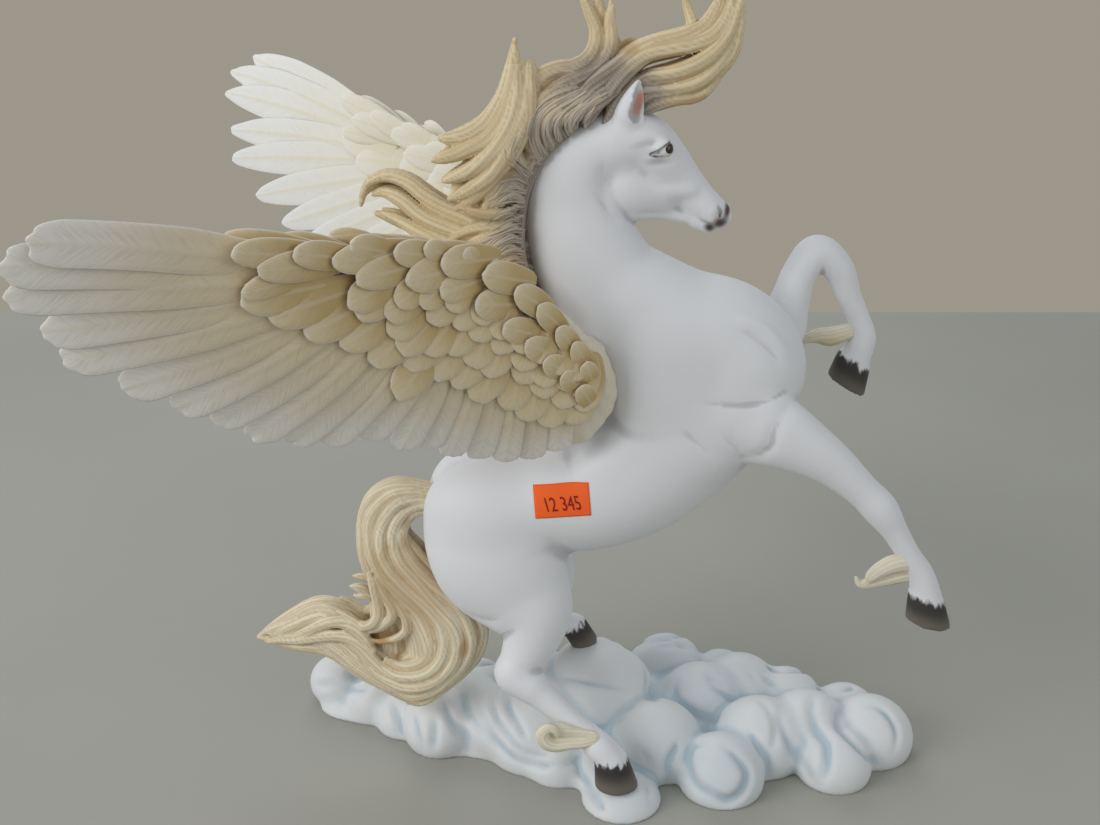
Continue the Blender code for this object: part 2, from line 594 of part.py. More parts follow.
def make_wing(name, side):
    """Arm, flight feathers and rows of coverts on both faces, fused into one casting."""
    lines = wing_lines()
    bm = bmesh.new()
    arm = lines[0][1]
    taper = np.linspace(1.0, ARM_TAPER, len(arm))
    stations = [(*point, ARM_RADIUS * t, ARM_RADIUS * ARM_FLATNESS * t)
                for point, t in zip(arm, taper)]
    add_loft(bm, stations[::8], 12)
    for k in range(FLIGHT_FEATHERS):
        spread = k / (FLIGHT_FEATHERS - 1)
        width = FEATHER_WIDTH * (INNER_WIDTH_SHARE - WIDTH_LOSS * spread)
        add_feather(bm, lines, spread, 0.0, 1.0, width, 0.0, 1)
    for count, (start, end, step) in zip(COVERT_FEATHERS, COVERT_ROWS):
        for k in range(count):
            spread = ((k + 0.5) / count) ** COVERT_CROWDING
            outer = np.clip((spread - DRAW_IN_FROM) / (1.0 - DRAW_IN_FROM), 0, 1)
            close = 1.0 - COVERT_DRAW_IN * outer
            for face in (-1, 1):
                add_feather(bm, lines, spread, start * close, end * close, COVERT_WIDTH, step, face)
    add_loft(bm, [(*row, ROOT_DEPTH) for row in ROOT_PAD])
    mesh = mesh_of(bm, name)
    if side > 0:
        lift = math.radians(FAR_WING_LIFT)
        pivot = Vector(SHOULDER) * MM
        for vert in mesh.vertices:
            back = vert.co.x - pivot.x
            up = vert.co.z - pivot.z
            vert.co = (pivot.x + back * math.cos(lift) + up * math.sin(lift), -vert.co.y,
                       pivot.z - back * math.sin(lift) + up * math.cos(lift))
        mesh.flip_normals()
    wing = new_object(name, mesh)
    fuse(wing, FEATHER_GRID, WING_PASSES, WING_FACES)
    return wing


def make_mane():
    """Windblown locks fused at the crest."""
    bm = bmesh.new()
    for lock in MANE.values():
        add_loft(bm, [(x, y, z, radius, radius * MANE_DEPTH) for x, y, z, radius in lock], 12)
    mane = new_object("mane", mesh_of(bm, "mane"))
    fuse(mane, FEATHER_GRID, MANE_PASSES, MANE_FACES)
    return mane


def make_tail():
    """Tail that falls from the dock, turns on the cloud and runs out behind."""
    bm = bmesh.new()
    for lock in TAIL.values():
        add_loft(bm, lock, 16)
    tail = new_object("tail", mesh_of(bm, "tail"))
    fuse(tail, SKIN_GRID, SOFT_PASSES, TAIL_FACES)
    return tail


def make_base():
    """Heap of cloud puffs with a flat underside, one puff under each standing hoof."""
    bm = bmesh.new()
    for x, y, z, radius in PUFFS:
        add_ball(bm, (x, y, z), (radius, radius, radius * PUFF_SQUASH))
    for x, y, rx, ry, rz in HEART:
        add_ball(bm, (x, y, 0.0), (rx, ry, rz))
    for name in ("near_hind", "far_hind"):
        y, _, _, sole, _, _ = HOOVES[name]
        height = HOOF_PUFF_RADIUS * HOOF_PUFF_SQUASH
        centre = (sole[0] + HOOF_PUFF_FORWARD, y * HOOF_PUFF_INWARD,
                  sole[1] + HOOF_SINK - height)
        add_ball(bm, centre, (HOOF_PUFF_RADIUS, HOOF_PUFF_RADIUS, height))
    base = new_object("cloud_base", mesh_of(bm, "cloud_base"))
    fuse(base, SKIN_GRID, SOFT_PASSES, BASE_FACES)
    table = bmesh.new()
    bmesh.ops.create_cube(table, size=1.0)
    block = Vector((TABLE_LENGTH, TABLE_LENGTH, TABLE_HEIGHT)) * MM
    bmesh.ops.scale(table, vec=block, verts=table.verts)
    bmesh.ops.translate(table, vec=(0.0, 0.0, -block.z / 2), verts=table.verts)
    cutter = new_object("table_plane", mesh_of(table, "table_plane"))
    cutter.hide_render = True
    cutter.display_type = "WIRE"
    cut(base, cutter)
    return base


def make_label(horse):
    """Thin paper label that follows the flank."""
    tree = BVHTree.FromPolygons([v.co for v in horse.data.vertices],
                                [p.vertices for p in horse.data.polygons])
    x, z = LABEL_CENTRE
    place, normal, _, _ = tree.ray_cast(Vector((x, -LABEL_HELD_OUT, z)) * MM, Vector((0, 1, 0)))
    along = Vector((1, 0, math.tan(math.radians(LABEL_TURN))))
    along = (along - normal * along.dot(normal)).normalized()
    up = normal.cross(along) * -1
    up = up if up.z > 0 else -up
    bm = bmesh.new()
    bmesh.ops.create_grid(bm, x_segments=LABEL_GRID[0], y_segments=LABEL_GRID[1], size=0.5)
    for vert in bm.verts:
        start = (place + normal * LABEL_PRESS * MM + along * vert.co.x * LABEL_LENGTH * MM
                 + up * vert.co.y * LABEL_WIDTH * MM)
        hit, _, _, _ = tree.ray_cast(start, -normal)
        vert.co = hit + normal * LABEL_LIFT * MM
    if (along.cross(up)).dot(normal) < 0:
        bmesh.ops.reverse_faces(bm, faces=bm.faces)
    mesh = bpy.data.meshes.new("price_label")
    bm.to_mesh(mesh)
    bm.free()
    label = new_object("price_label", mesh)
    paper = label.modifiers.new("paper", "SOLIDIFY")
    paper.thickness = LABEL_THICKNESS * MM
    paper.offset = 1.0
    return label


def build():
    clear_scene()
    horse = make_horse()
    right_wing = make_wing("right_wing", -1)
    left_wing = make_wing("left_wing", 1)
    mane = make_mane()
    tail = make_tail()
    base = make_base()
    make_label(horse)
    horse_room = clearance(horse)
    for casting in (right_wing, left_wing, mane, tail, base):
        cut(casting, horse_room)
    cut(mane, clearance(right_wing))
    cut(mane, clearance(left_wing))
    cut(tail, clearance(base))


build()
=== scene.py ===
import math

import bmesh
import bpy
import numpy as np
from mathutils import Matrix, Vector
from mathutils.bvhtree import BVHTree


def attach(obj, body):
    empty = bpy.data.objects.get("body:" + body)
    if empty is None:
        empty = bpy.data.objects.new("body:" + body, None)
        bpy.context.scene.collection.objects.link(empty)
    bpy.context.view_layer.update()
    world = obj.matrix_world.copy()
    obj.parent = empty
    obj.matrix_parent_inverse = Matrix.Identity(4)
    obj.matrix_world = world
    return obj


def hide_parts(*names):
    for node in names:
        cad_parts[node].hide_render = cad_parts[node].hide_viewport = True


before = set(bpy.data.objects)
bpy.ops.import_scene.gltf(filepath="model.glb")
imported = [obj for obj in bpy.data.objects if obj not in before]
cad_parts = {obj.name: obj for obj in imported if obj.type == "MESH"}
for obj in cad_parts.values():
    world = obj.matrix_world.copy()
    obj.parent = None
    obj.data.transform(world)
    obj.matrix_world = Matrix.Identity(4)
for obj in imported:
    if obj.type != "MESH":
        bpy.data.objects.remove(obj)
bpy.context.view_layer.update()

# View of the figurine on its table: the eye stands in front of the near side and looks
# 22 degrees down. The table is pale grey green, the room beyond it a plain warm beige.
MM = 0.001
VIEW_PITCH = math.radians(22.0)
VIEW_DISTANCE = 478.0
VIEW_HEIGHT = 147.5
camera = bpy.data.objects.new("camera", bpy.data.cameras.new("camera"))
camera.data.sensor_width = 36.0
camera.data.lens = 42.545
camera.data.clip_start = 0.01
camera.rotation_euler = (math.pi / 2 - VIEW_PITCH, 0.0, 0.0)
camera.location = (0.0, -VIEW_DISTANCE * math.cos(VIEW_PITCH) * MM,
                   (VIEW_HEIGHT + VIEW_DISTANCE * math.sin(VIEW_PITCH)) * MM)
bpy.context.collection.objects.link(camera)
scene = bpy.context.scene
scene.camera = camera
scene.view_settings.view_transform = "Standard"

TABLE_FRONT = -1.6
TABLE_BACK = 0.587
TABLE_SIDE = 1.8
TABLE_COLOUR = (0.385, 0.382, 0.34, 1.0)
table_mesh = bpy.data.meshes.new("table")
table_mesh.from_pydata([(-TABLE_SIDE, TABLE_FRONT, 0.0), (TABLE_SIDE, TABLE_FRONT, 0.0),
                        (TABLE_SIDE, TABLE_BACK, 0.0), (-TABLE_SIDE, TABLE_BACK, 0.0)], [],
                       [(0, 1, 2, 3)])
table = bpy.data.objects.new("table", table_mesh)
bpy.context.collection.objects.link(table)
table_finish = bpy.data.materials.new("table_top")
table_finish.use_nodes = True
nodes, links = table_finish.node_tree.nodes, table_finish.node_tree.links
shader = nodes["Principled BSDF"]
shader.inputs["Roughness"].default_value = 0.7
place = nodes.new("ShaderNodeTexCoord")
cloudy = nodes.new("ShaderNodeTexNoise")
cloudy.inputs["Scale"].default_value = 3.0
cloudy.inputs["Detail"].default_value = 5.0
shade = nodes.new("ShaderNodeValToRGB")
shade.color_ramp.elements[0].position = 0.35
shade.color_ramp.elements[0].color = [c * 0.95 for c in TABLE_COLOUR[:3]] + [1.0]
shade.color_ramp.elements[1].position = 0.65
shade.color_ramp.elements[1].color = [c * 1.05 for c in TABLE_COLOUR[:3]] + [1.0]
links.new(place.outputs["Object"], cloudy.inputs["Vector"])
links.new(cloudy.outputs["Fac"], shade.inputs["Fac"])
links.new(shade.outputs["Color"], shader.inputs["Base Color"])
table_mesh.materials.append(table_finish)

# Soft studio light: a wide lamp above and to the left, a weaker one from the right, another
# from behind, and an even sky. What the eye sees past the table is the wall's own colour.
WALL_COLOUR = (0.335, 0.311, 0.258, 1.0)
SKY_COLOUR = (0.93, 0.97, 1.0, 1.0)
SKY_STRENGTH = 0.42
LAMPS = {  # place, what it points at, width, watts
    "key": ((-1.35, -0.85, 0.9), (0.0, 0.0, 0.15), 1.1, 15.5),
    "fill": ((1.1, -0.8, 0.75), (0.0, 0.0, 0.15), 1.0, 3.2),
    "rim": ((-0.2, 1.2, 1.0), (0.0, 0.0, 0.15), 1.0, 4.5),
}
for name, (spot, aim, width, watts) in LAMPS.items():
    lamp = bpy.data.objects.new(name, bpy.data.lights.new(name, "AREA"))
    lamp.data.size = width
    lamp.data.energy = watts
    lamp.location = spot
    lamp.rotation_euler = (Vector(aim) - Vector(spot)).to_track_quat("-Z", "Y").to_euler()
    bpy.context.collection.objects.link(lamp)
world = bpy.data.worlds.new("room")
scene.world = world
world.use_nodes = True
nodes, links = world.node_tree.nodes, world.node_tree.links
sky = nodes["Background"]
sky.inputs["Color"].default_value = SKY_COLOUR
sky.inputs["Strength"].default_value = SKY_STRENGTH
wall = nodes.new("ShaderNodeBackground")
wall.inputs["Color"].default_value = WALL_COLOUR
seen = nodes.new("ShaderNodeLightPath")
choice = nodes.new("ShaderNodeMixShader")
links.new(seen.outputs["Is Camera Ray"], choice.inputs["Fac"])
links.new(sky.outputs["Background"], choice.inputs[1])
links.new(wall.outputs["Background"], choice.inputs[2])
links.new(choice.outputs["Shader"], nodes["World Output"].inputs["Surface"])

# Horse: one casting with trunk, neck, head, legs and hooves, in matt white painted resin.
# It is modelled as fused limbs and muscles in a field of distances, with the creases,
# veins and eyelids pressed in, and skinned on a grid that is finer round the head.
BODY_STEP = 1.2
HEAD_STEP = 0.61
FINE_X = (13.0, 63.0)
FINE_Y = 12.5
FINE_Z = 213.0
HORSE_X = (-54.0, 152.0)
HORSE_Y = (-47.0, 32.0)
HORSE_Z = (6.0, 272.5)
FAR_AWAY = 99.0
BARREL = 25.0
TRUNK = [  # x, z, radius in the side view, share of the barrel's half width
    (-27.4, 102.5, 20.6, 0.80), (-17.0, 111.8, 22.4, 0.92), (-1.9, 116.0, 21.6, 0.98),
    (13.2, 116.8, 22.9, 1.00), (29.6, 124.3, 25.2, 1.02), (45.2, 138.1, 26.8, 1.00),
    (57.8, 153.2, 27.0, 0.94), (68.1, 165.7, 22.9, 0.80),
]
WITHERS = [(3.7, 140.5, 11.1, 0.40), (18.2, 163.4, 13.1, 0.40), (22.2, 179.4, 14.3, 0.42)]
NECK = [
    (42.8, 163.4, 27.4, 0.86), (31.8, 180.8, 26.0, 0.77), (19.6, 193.6, 22.4, 0.68),
    (12.2, 208.8, 19.6, 0.57), (9.0, 222.3, 18.0, 0.48), (8.2, 233.5, 15.8, 0.45),
    (12.9, 242.0, 13.4, 0.42), (21.0, 246.1, 11.0, 0.40),
]
BREAST = [
    (29.0, 188.0, 18.0, 0.72), (47.5, 180.0, 21.4, 0.86), (61.6, 172.6, 25.0, 0.88),
    (67.2, 165.4, 23.8, 0.83),
]
CHEEKS = 10.5
HEAD = [
    (24.4, 246.5, 10.2, 0.90), (30.5, 246.5, 10.3, 0.98), (35.7, 242.0, 10.0, 0.92),
    (41.8, 234.9, 8.8, 0.70), (48.2, 229.0, 7.0, 0.58), (52.8, 225.2, 6.0, 0.60),
    (56.8, 222.3, 5.1, 0.62),
]
JOWL = [(25.0, 238.5, 7.2, 0.82), (27.9, 231.6, 10.3, 0.93), (37.0, 229.8, 8.0, 0.74)]
CHIN = [(51.3, 219.7, 3.3, 0.42), (53.8, 218.4, 3.0, 0.42)]
JAW = [(30.6, 223.4, 3.4, 0.50), (36.7, 223.0, 2.9, 0.42), (41.6, 222.0, 2.6, 0.36),
       (47.4, 220.8, 2.4, 0.34)]
LEG_SOFTNESS = (6.0, 6.0, 2.0, 2.0, 4.0, 4.0)
LEGS = [  # x, y, z, radius in the side view, half of the width across
    [(-21.0, -10, 107.0, 23.6, 14), (-20.0, -12, 95.0, 25.0, 15), (-12.5, -14, 83.0, 20.0, 13),
     (-6.0, -16, 74.0, 14.4, 12), (-6.8, -19, 64.4, 10.8, 9.5), (-11.0, -22, 54.9, 8.2, 7.5),
     (-13.6, -24, 50.9, 7.4, 7.0), (-7.6, -26, 46.9, 6.4, 6.2)],
    [(-21.0, 10, 104.0, 22.6, 14), (-18.0, 12, 92.0, 23.0, 14), (-9.0, 14, 79.5, 18.5, 12),
     (-3.5, 16, 68.4, 13.0, 11), (-4.6, 18, 56.5, 9.8, 9), (-8.2, 20, 47.5, 7.6, 7),
     (-3.0, 20.5, 43.0, 6.2, 5.6)],
    [(-13.0, -24, 50.4, 6.8, 6.2), (-7.6, -26, 46.9, 6.2, 6.0), (0.8, -29, 40.4, 5.2, 5.0),
     (9.1, -32, 34.0, 4.5, 4.5), (15.1, -34, 29.1, 5.0, 4.9), (18.9, -36, 25.8, 5.7, 5.8),
     (23.0, -37, 22.0, 5.3, 6.1)],
    [(-8.2, 20, 46.5, 6.8, 6.0), (-2.0, 21, 43.0, 5.6, 5.0), (4.5, 22, 44.2, 4.8, 4.8),
     (9.5, 23, 44.0, 4.6, 4.6)],
    [(56.0, -12, 152.0, 15.0, 11), (66.0, -14, 150.0, 15.0, 11), (78.0, -17, 148.0, 13.6, 10.5),
     (91.5, -19, 141.5, 10.0, 9.0), (102.0, -20, 134.6, 7.8, 7.6), (112.0, -21, 125.8, 6.2, 6.4),
     (118.8, -22, 119.0, 6.4, 6.4), (124.6, -22.5, 110.8, 4.8, 5.0), (130.6, -23, 101.2, 4.3, 4.6),
     (136.0, -23, 92.6, 4.9, 5.2), (139.0, -23, 83.8, 5.6, 6.1)],
    [(60.0, 13, 158.0, 15.0, 11), (72.9, 16, 165.6, 14.3, 11), (84.5, 18.5, 172.0, 10.4, 9.5),
     (88.8, 20, 183.3, 7.4, 8), (91.9, 21, 194.0, 6.4, 7), (98.2, 22, 201.8, 6.8, 6.8),
     (106.5, 22.5, 196.0, 5.7, 6), (111.2, 23, 185.9, 4.7, 5), (115.8, 23.5, 176.7, 4.2, 4.6),
     (118.2, 23.5, 168.6, 5.0, 5.3), (115.8, 23.5, 159.6, 5.9, 6.1)],
]
HOOF_WIDTH = 7.3
HOOF_REACH = 11.0
HOOF_RIM = 0.1
HOOF_RAGGED = 7.0
HOOVES = [  # y, coronet x, z and its reach x, z, sole x, z and its reach x, z, share of the width
    (-37.0, (23.0, 22.0), (6.3, 0.4), (25.4, 9.5), (8.3, 0.0), 1.0),
    (23.0, (9.5, 44.0), (4.4, 3.2), (15.0, 34.5), (5.4, 1.4), 0.75),
    (-23.0, (139.0, 83.8), (6.7, 0.4), (140.9, 72.8), (8.0, -3.4), 1.0),
    (23.5, (115.8, 159.6), (7.0, -1.4), (113.4, 149.4), (5.8, -6.0), 1.0),
]
MUSCLES = [  # x, y, z, radii along x, y, z, and how softly it melts in
    (69.0, 10.0, 162.0, 17.0, 12.0, 19.0, 5.0), (52.0, 13.0, 140.0, 17.0, 10.0, 12.0, 5.0),
    (40.0, 15.0, 166.0, 17.0, 8.0, 22.0, 6.0), (-24.5, 9.0, 113.5, 21.0, 14.0, 17.0, 6.0),
    (64.0, 16.5, 150.0, 11.0, 8.0, 9.5, 3.0), (75.0, 15.0, 158.5, 9.0, 8.0, 5.0, 3.0),
    (37.5, 8.0, 246.8, 3.0, 2.4, 2.4, 2.0), (30.0, 6.0, 249.5, 6.0, 3.0, 2.2, 2.0),
    (41.0, 5.0, 231.0, 8.0, 2.2, 2.2, 2.5), (57.0, 3.4, 222.6, 2.4, 1.8, 2.6, 1.2),
]
CREASE_SPREAD = 1.6
CREASE_EASE = 0.8
RIDGE_SPREAD = 1.1
RIDGE_EASE = 1.3
# Creases and veins: half width, depth (below nought it stands out), then points x, y, z on
# the near side. Each is on both sides of the horse.
CREASES = [
    (1.1, 1.0, [(17.8, -10, 243), (17.4, -9.7, 235.4), (17.9, -9.4, 229.0), (19.5, -9.3, 225.0),
                (22.0, -8.9, 222.0), (25.6, -8.0, 220.6)]),
    (0.7, 0.7, [(28.5, -7.6, 221.6), (32.3, -7.0, 223.0), (36.7, -5.8, 222.8), (41.6, -5.0, 221.7),
                (47.4, -4.4, 220.6)]),
    (0.45, 0.35, [(12.5, -10.4, 236.5), (16.0, -9.8, 229.5), (19.5, -8.6, 224.5)]),
    (0.45, 0.3, [(11.5, -10.4, 232.0), (15.5, -9.8, 226.0), (20.0, -8.6, 220.5)]),
    (1.0, 0.9, [(49.9, -21.5, 160.4), (59.2, -22.3, 159.8), (71.0, -23, 159.9), (78.4, -21.5, 161.6),
                (84.0, -18.5, 164.5)]),
    (1.5, 1.7, [(84.5, -20, 161.0), (78.2, -26, 151.5), (77.0, -26.5, 146.0), (72.5, -25, 140.8),
                (66.0, -23, 139.8)]),
    (1.0, 0.7, [(56.9, -23.6, 153.3), (60.3, -24.2, 149.0), (64.6, -24.6, 144.6), (67.4, -23.6, 140.7)]),
    (0.8, 0.5, [(63.4, -24.6, 154.0), (64.4, -25.0, 150.2), (65.2, -25, 146.0)]),
    (1.0, 0.6, [(46.2, -24, 150.4), (51.6, -24.6, 145.8), (57.6, -24.0, 140.2)]),
    (0.5, -0.45, [(59.8, -22.4, 138.5), (58.8, -21.8, 134.2), (58.5, -20.5, 130.0), (61.0, -19, 127.0)]),
    (0.5, -0.4, [(59.0, -22.0, 136.5), (54.0, -22.0, 133.0), (49.0, -21.0, 130.0)]),
    (1.6, -0.8, [(63.9, -17.2, 189.7), (68.9, -16.8, 188.1), (74.5, -16, 185.7), (80.0, -15.6, 180.1),
                  (84.3, -14.5, 172.8)]),
    (1.4, 1.1, [(64.0, -19.0, 186.0), (70.0, -19.5, 183.0), (76.5, -19, 177.5), (81.0, -18, 171.0)]),
    (1.2, 0.9, [(-30.5, -19.5, 76.0), (-24.3, -22, 73.6), (-17.5, -25.5, 75.6)]),
    (0.7, 0.5, [(-11.5, -29, 56.6), (-6.4, -28.6, 56.0), (-1.5, -24.7, 55.6)]),
    (0.6, 0.4, [(-10.5, -30, 53.0), (-5.0, -29.6, 52.0), (0.5, -26.7, 50.6)]),
    (0.5, 0.6, [(59.5, -3.0, 218.6), (56.0, -4.4, 219.6), (52.8, -4.0, 220.4), (50.5, -3.4, 221.4)]),
    (0.5, -0.35, [(45.5, -6.0, 232.5), (49.0, -5.2, 228.0), (52.0, -4.6, 225.5)]),
    (0.6, 0.35, [(49.8, -5.2, 226.5), (51.8, -4.8, 223.5), (51.8, -4.2, 221.0)]),
    (0.45, -0.35, [(118.0, -28.2, 120.0), (123.0, -27.6, 111.5), (129.0, -27.2, 102.0)]),
    (0.45, -0.3, [(97.0, -28, 139.0), (104.0, -27.4, 133.0), (110.0, -27, 127.0)]),
]
SOCKET = [(34.2, 10.9, 244.2, 0.4, 1.5), (36.5, 10.9, 244.7, 0.9, 2.2), (38.6, 10.5, 245.3, 1.6, 2.4),
          (40.3, 9.8, 246.1, 1.8, 2.2), (41.3, 9.2, 247.0, 1.1, 1.5)]
LASH_REACH = 1.6
LASHES = [
    [(33.6, 10.5, 244.1), (36.2, 10.5, 245.1), (38.2, 10.3, 246.6), (40.2, 9.3, 248.0), (41.5, 8.2, 249.2)],
    [(34.6, 10.4, 243.8), (36.9, 10.3, 243.7), (39.3, 9.8, 243.5), (40.9, 9.0, 244.3), (41.6, 8.6, 246.4)],
]
LIDS = [
    (0.6, -0.7, [(32.6, -9.6, 244.6), (35.6, -10.4, 246.0), (38.0, -10.2, 247.7), (40.0, -9.2, 249.0),
                 (42.0, -7.6, 249.8)]),
    (0.5, -0.45, [(34.0, -10.0, 243.0), (36.9, -10.3, 242.8), (39.6, -9.8, 242.5), (41.6, -8.6, 243.6),
                  (42.4, -7.7, 246.0)]),
    (0.7, 0.5, [(31.4, -9.0, 246.6), (34.6, -9.9, 248.2), (38.0, -9.6, 250.0), (41.6, -7.2, 251.2)]),
    (0.7, 0.35, [(33.0, -9.8, 241.4), (36.6, -10.0, 241.0), (40.0, -9.2, 240.8), (42.8, -7.6, 242.4)]),
]
NOSTRIL_OUT = 1.6
NOSTRIL = [(57.8, 3.6, 222.2, 0.7, 0.7), (58.3, 3.5, 223.9, 0.9, 0.8), (57.6, 3.4, 225.6, 0.5, 0.5)]
EAR_FLATNESS = 0.8
EAR_HOLLOW = (0.62, 0.66, 0.5)  # how far out, radius and width, as shares of the ear's
EAR = [  # distance up the ear, radius
    (0.0, 4.4), (5.0, 5.0), (11.0, 3.4), (15.3, 1.5), (17.0, 0.6),
]
EAR_BASE = (24.8, 6.0, 252.0)
EAR_LEAN = (0.27, 0.12, 0.95)
EAR_OPENS = (0.72, 0.62, -0.1)


def spline(stations, per_span=4):
    """Catmull-Rom curve through the stations, every column carried along."""
    rows = np.array(stations, dtype=float)
    padded = np.vstack([2 * rows[0] - rows[1], rows, 2 * rows[-1] - rows[-2]])
    out = []
    for i in range(len(rows) - 1):
        a, b, c, d = padded[i:i + 4]
        for t in np.arange(per_span) / per_span:
            out.append(0.5 * (2 * b + (c - a) * t + (2 * a - 5 * b + 4 * c - d) * t ** 2
                              + (3 * b - a - 3 * c + d) * t ** 3))
    out.append(rows[-1])
    return np.array(out)


class Clay:
    """Distances to a modelled form, kept on a grid whose three axes have their own steps."""

    def __init__(self, xs, ys, zs):
        self.axes = [np.asarray(a, dtype=np.float32) for a in (xs, ys, zs)]
        self.field = np.full([len(a) for a in self.axes], FAR_AWAY, dtype=np.float32)

    def window(self, low, high):
        """Slices of the grid between two corners, and the coordinates there."""
        cut = []
        for axis, a, b in zip(self.axes, low, high):
            first = max(int(np.searchsorted(axis, a)) - 1, 0)
            last = min(int(np.searchsorted(axis, b)) + 1, len(axis))
            cut.append(slice(first, last))
        x, y, z = (axis[s] for axis, s in zip(self.axes, cut))
        return tuple(cut), x[:, None, None], y[None, :, None], z[None, None, :]

    def melt(self, cut, other, softness):
        """Join another form into the clay, with a fillet between the two."""
        mine = self.field[cut]
        near = np.maximum(softness - np.abs(mine - other), 0.0) / softness
        self.field[cut] = np.minimum(mine, other) - near * near * softness * 0.25

    def limb(self, stations, softness, carve=False, per_span=4):
        """Rounded limb through stations of x, y, z, side radius and half width across."""
        rows = spline(stations, per_span)
        rows[:, 3:] = np.maximum(rows[:, 3:], 0.3)
        margin = rows[:, 3:].max() + softness + 3.0
        cut, x, y, z = self.window(rows[:, :3].min(0) - margin, rows[:, :3].max(0) + margin)
        form = np.full(np.broadcast_shapes(x.shape, y.shape, z.shape), FAR_AWAY, dtype=np.float32)
        for a, b in zip(rows[:-1], rows[1:]):
            reach = max(a[3:].max(), b[3:].max()) + softness + 2.5
            part, px, py, pz = self.window(np.minimum(a[:3], b[:3]) - reach,
                                           np.maximum(a[:3], b[:3]) + reach)
            along = b[:3] - a[:3]
            length = max(float(np.linalg.norm(along)), 1e-6)
            along = along / length
            across = np.array([0.0, 1.0, 0.0]) - along * along[1]
            across /= max(np.linalg.norm(across), 1e-6)
            side = np.cross(along, across)
            dx, dy, dz = px - a[0], py - a[1], pz - a[2]
            run = dx * along[0] + dy * along[1] + dz * along[2]
            t = np.clip(run / length, 0.0, 1.0)
            over = run - t * length
            r = a[3] + (b[3] - a[3]) * t
            w = a[4] + (b[4] - a[4]) * t
            s = (dx * side[0] + dy * side[1] + dz * side[2]) / r
            q = (dx * across[0] + dy * across[1] + dz * across[2]) / w
            end = np.maximum(r, w)
            o = over / end
            k0 = np.sqrt(s * s + q * q + o * o)
            k1 = np.sqrt((s / r) ** 2 + (q / w) ** 2 + (o / end) ** 2) + 1e-6
            gap = k0 * (k0 - 1.0) / k1
            local = tuple(slice(p.start - c.start, p.stop - c.start) for p, c in zip(part, cut))
            form[local] = np.minimum(form[local], gap)
        if carve:
            self.scoop(cut, form, softness)
        else:
            self.melt(cut, form, softness)

    def scoop(self, cut, other, softness):
        """Take another form out of the clay, with a rounded rim."""
        mine = self.field[cut]
        near = np.maximum(softness - np.abs(mine + other), 0.0) / softness
        self.field[cut] = np.maximum(mine, -other) + near * near * softness * 0.25

    def ball(self, centre, radii, softness, carve=False):
        """Ellipsoid, such as a muscle."""
        centre, radii = np.array(centre, float), np.array(radii, float)
        reach = radii + softness + 3.0
        cut, x, y, z = self.window(centre - reach, centre + reach)
        parts = [(x - centre[0]) / radii[0], (y - centre[1]) / radii[1], (z - centre[2]) / radii[2]]
        k0 = np.sqrt(sum(p * p for p in parts))
        k1 = np.sqrt(sum((p / r) ** 2 for p, r in zip(parts, radii))) + 1e-6
        form = k0 * (k0 - 1.0) / k1
        if carve:
            self.scoop(cut, form, softness)
        else:
            self.melt(cut, form, softness)

    def press(self, half_width, depth, points, per_span=4):
        """Press a crease of the given depth along a line, or raise a ridge."""
        rows = spline(points, per_span)
        reach = half_width * 3.0 + 1.5
        cut, x, y, z = self.window(rows.min(0) - reach, rows.max(0) + reach)
        nearest = np.full(np.broadcast_shapes(x.shape, y.shape, z.shape), FAR_AWAY, dtype=np.float32)
        share = np.zeros_like(nearest)
        for i, (a, b) in enumerate(zip(rows[:-1], rows[1:])):
            along = b - a
            run = ((x - a[0]) * along[0] + (y - a[1]) * along[1] + (z - a[2]) * along[2])
            t = np.clip(run / max(float(along @ along), 1e-9), 0.0, 1.0)
            gap = np.sqrt((x - a[0] - t * along[0]) ** 2 + (y - a[1] - t * along[1]) ** 2
                          + (z - a[2] - t * along[2]) ** 2)
            closer = gap < nearest
            nearest = np.where(closer, gap, nearest)
            share = np.where(closer, (i + t) / (len(rows) - 1), share)
        fade = np.sin(math.pi * np.clip(share, 0.02, 0.98)) ** 0.7
        self.field[cut] += depth * fade * np.exp(-(nearest / half_width) ** 2)

    def sample(self, points):
        """Distances at loose points, read between the grid's own."""
        total = np.zeros(len(points), dtype=np.float32)
        index, part = [], []
        for axis, column in zip(self.axes, points.T):
            i = np.clip(np.searchsorted(axis, column) - 1, 0, len(axis) - 2)
            index.append(i)
            part.append(np.clip((column - axis[i]) / (axis[i + 1] - axis[i]), 0.0, 1.0))
        for corner in range(8):
            weight = np.ones(len(points), dtype=np.float32)
            pick = []
            for k in range(3):
                up = corner >> k & 1
                weight = weight * (part[k] if up else 1.0 - part[k])
                pick.append(index[k] + up)
            total += weight * self.field[tuple(pick)]
        return total

    def slope(self, points, step=0.3):
        """Direction out of the form at loose points."""
        out = np.zeros((len(points), 3), dtype=np.float32)
        for k in range(3):
            shift = np.zeros(3, dtype=np.float32)
            shift[k] = step
            out[:, k] = (self.sample(points + shift) - self.sample(points - shift)) / (2 * step)
        return out

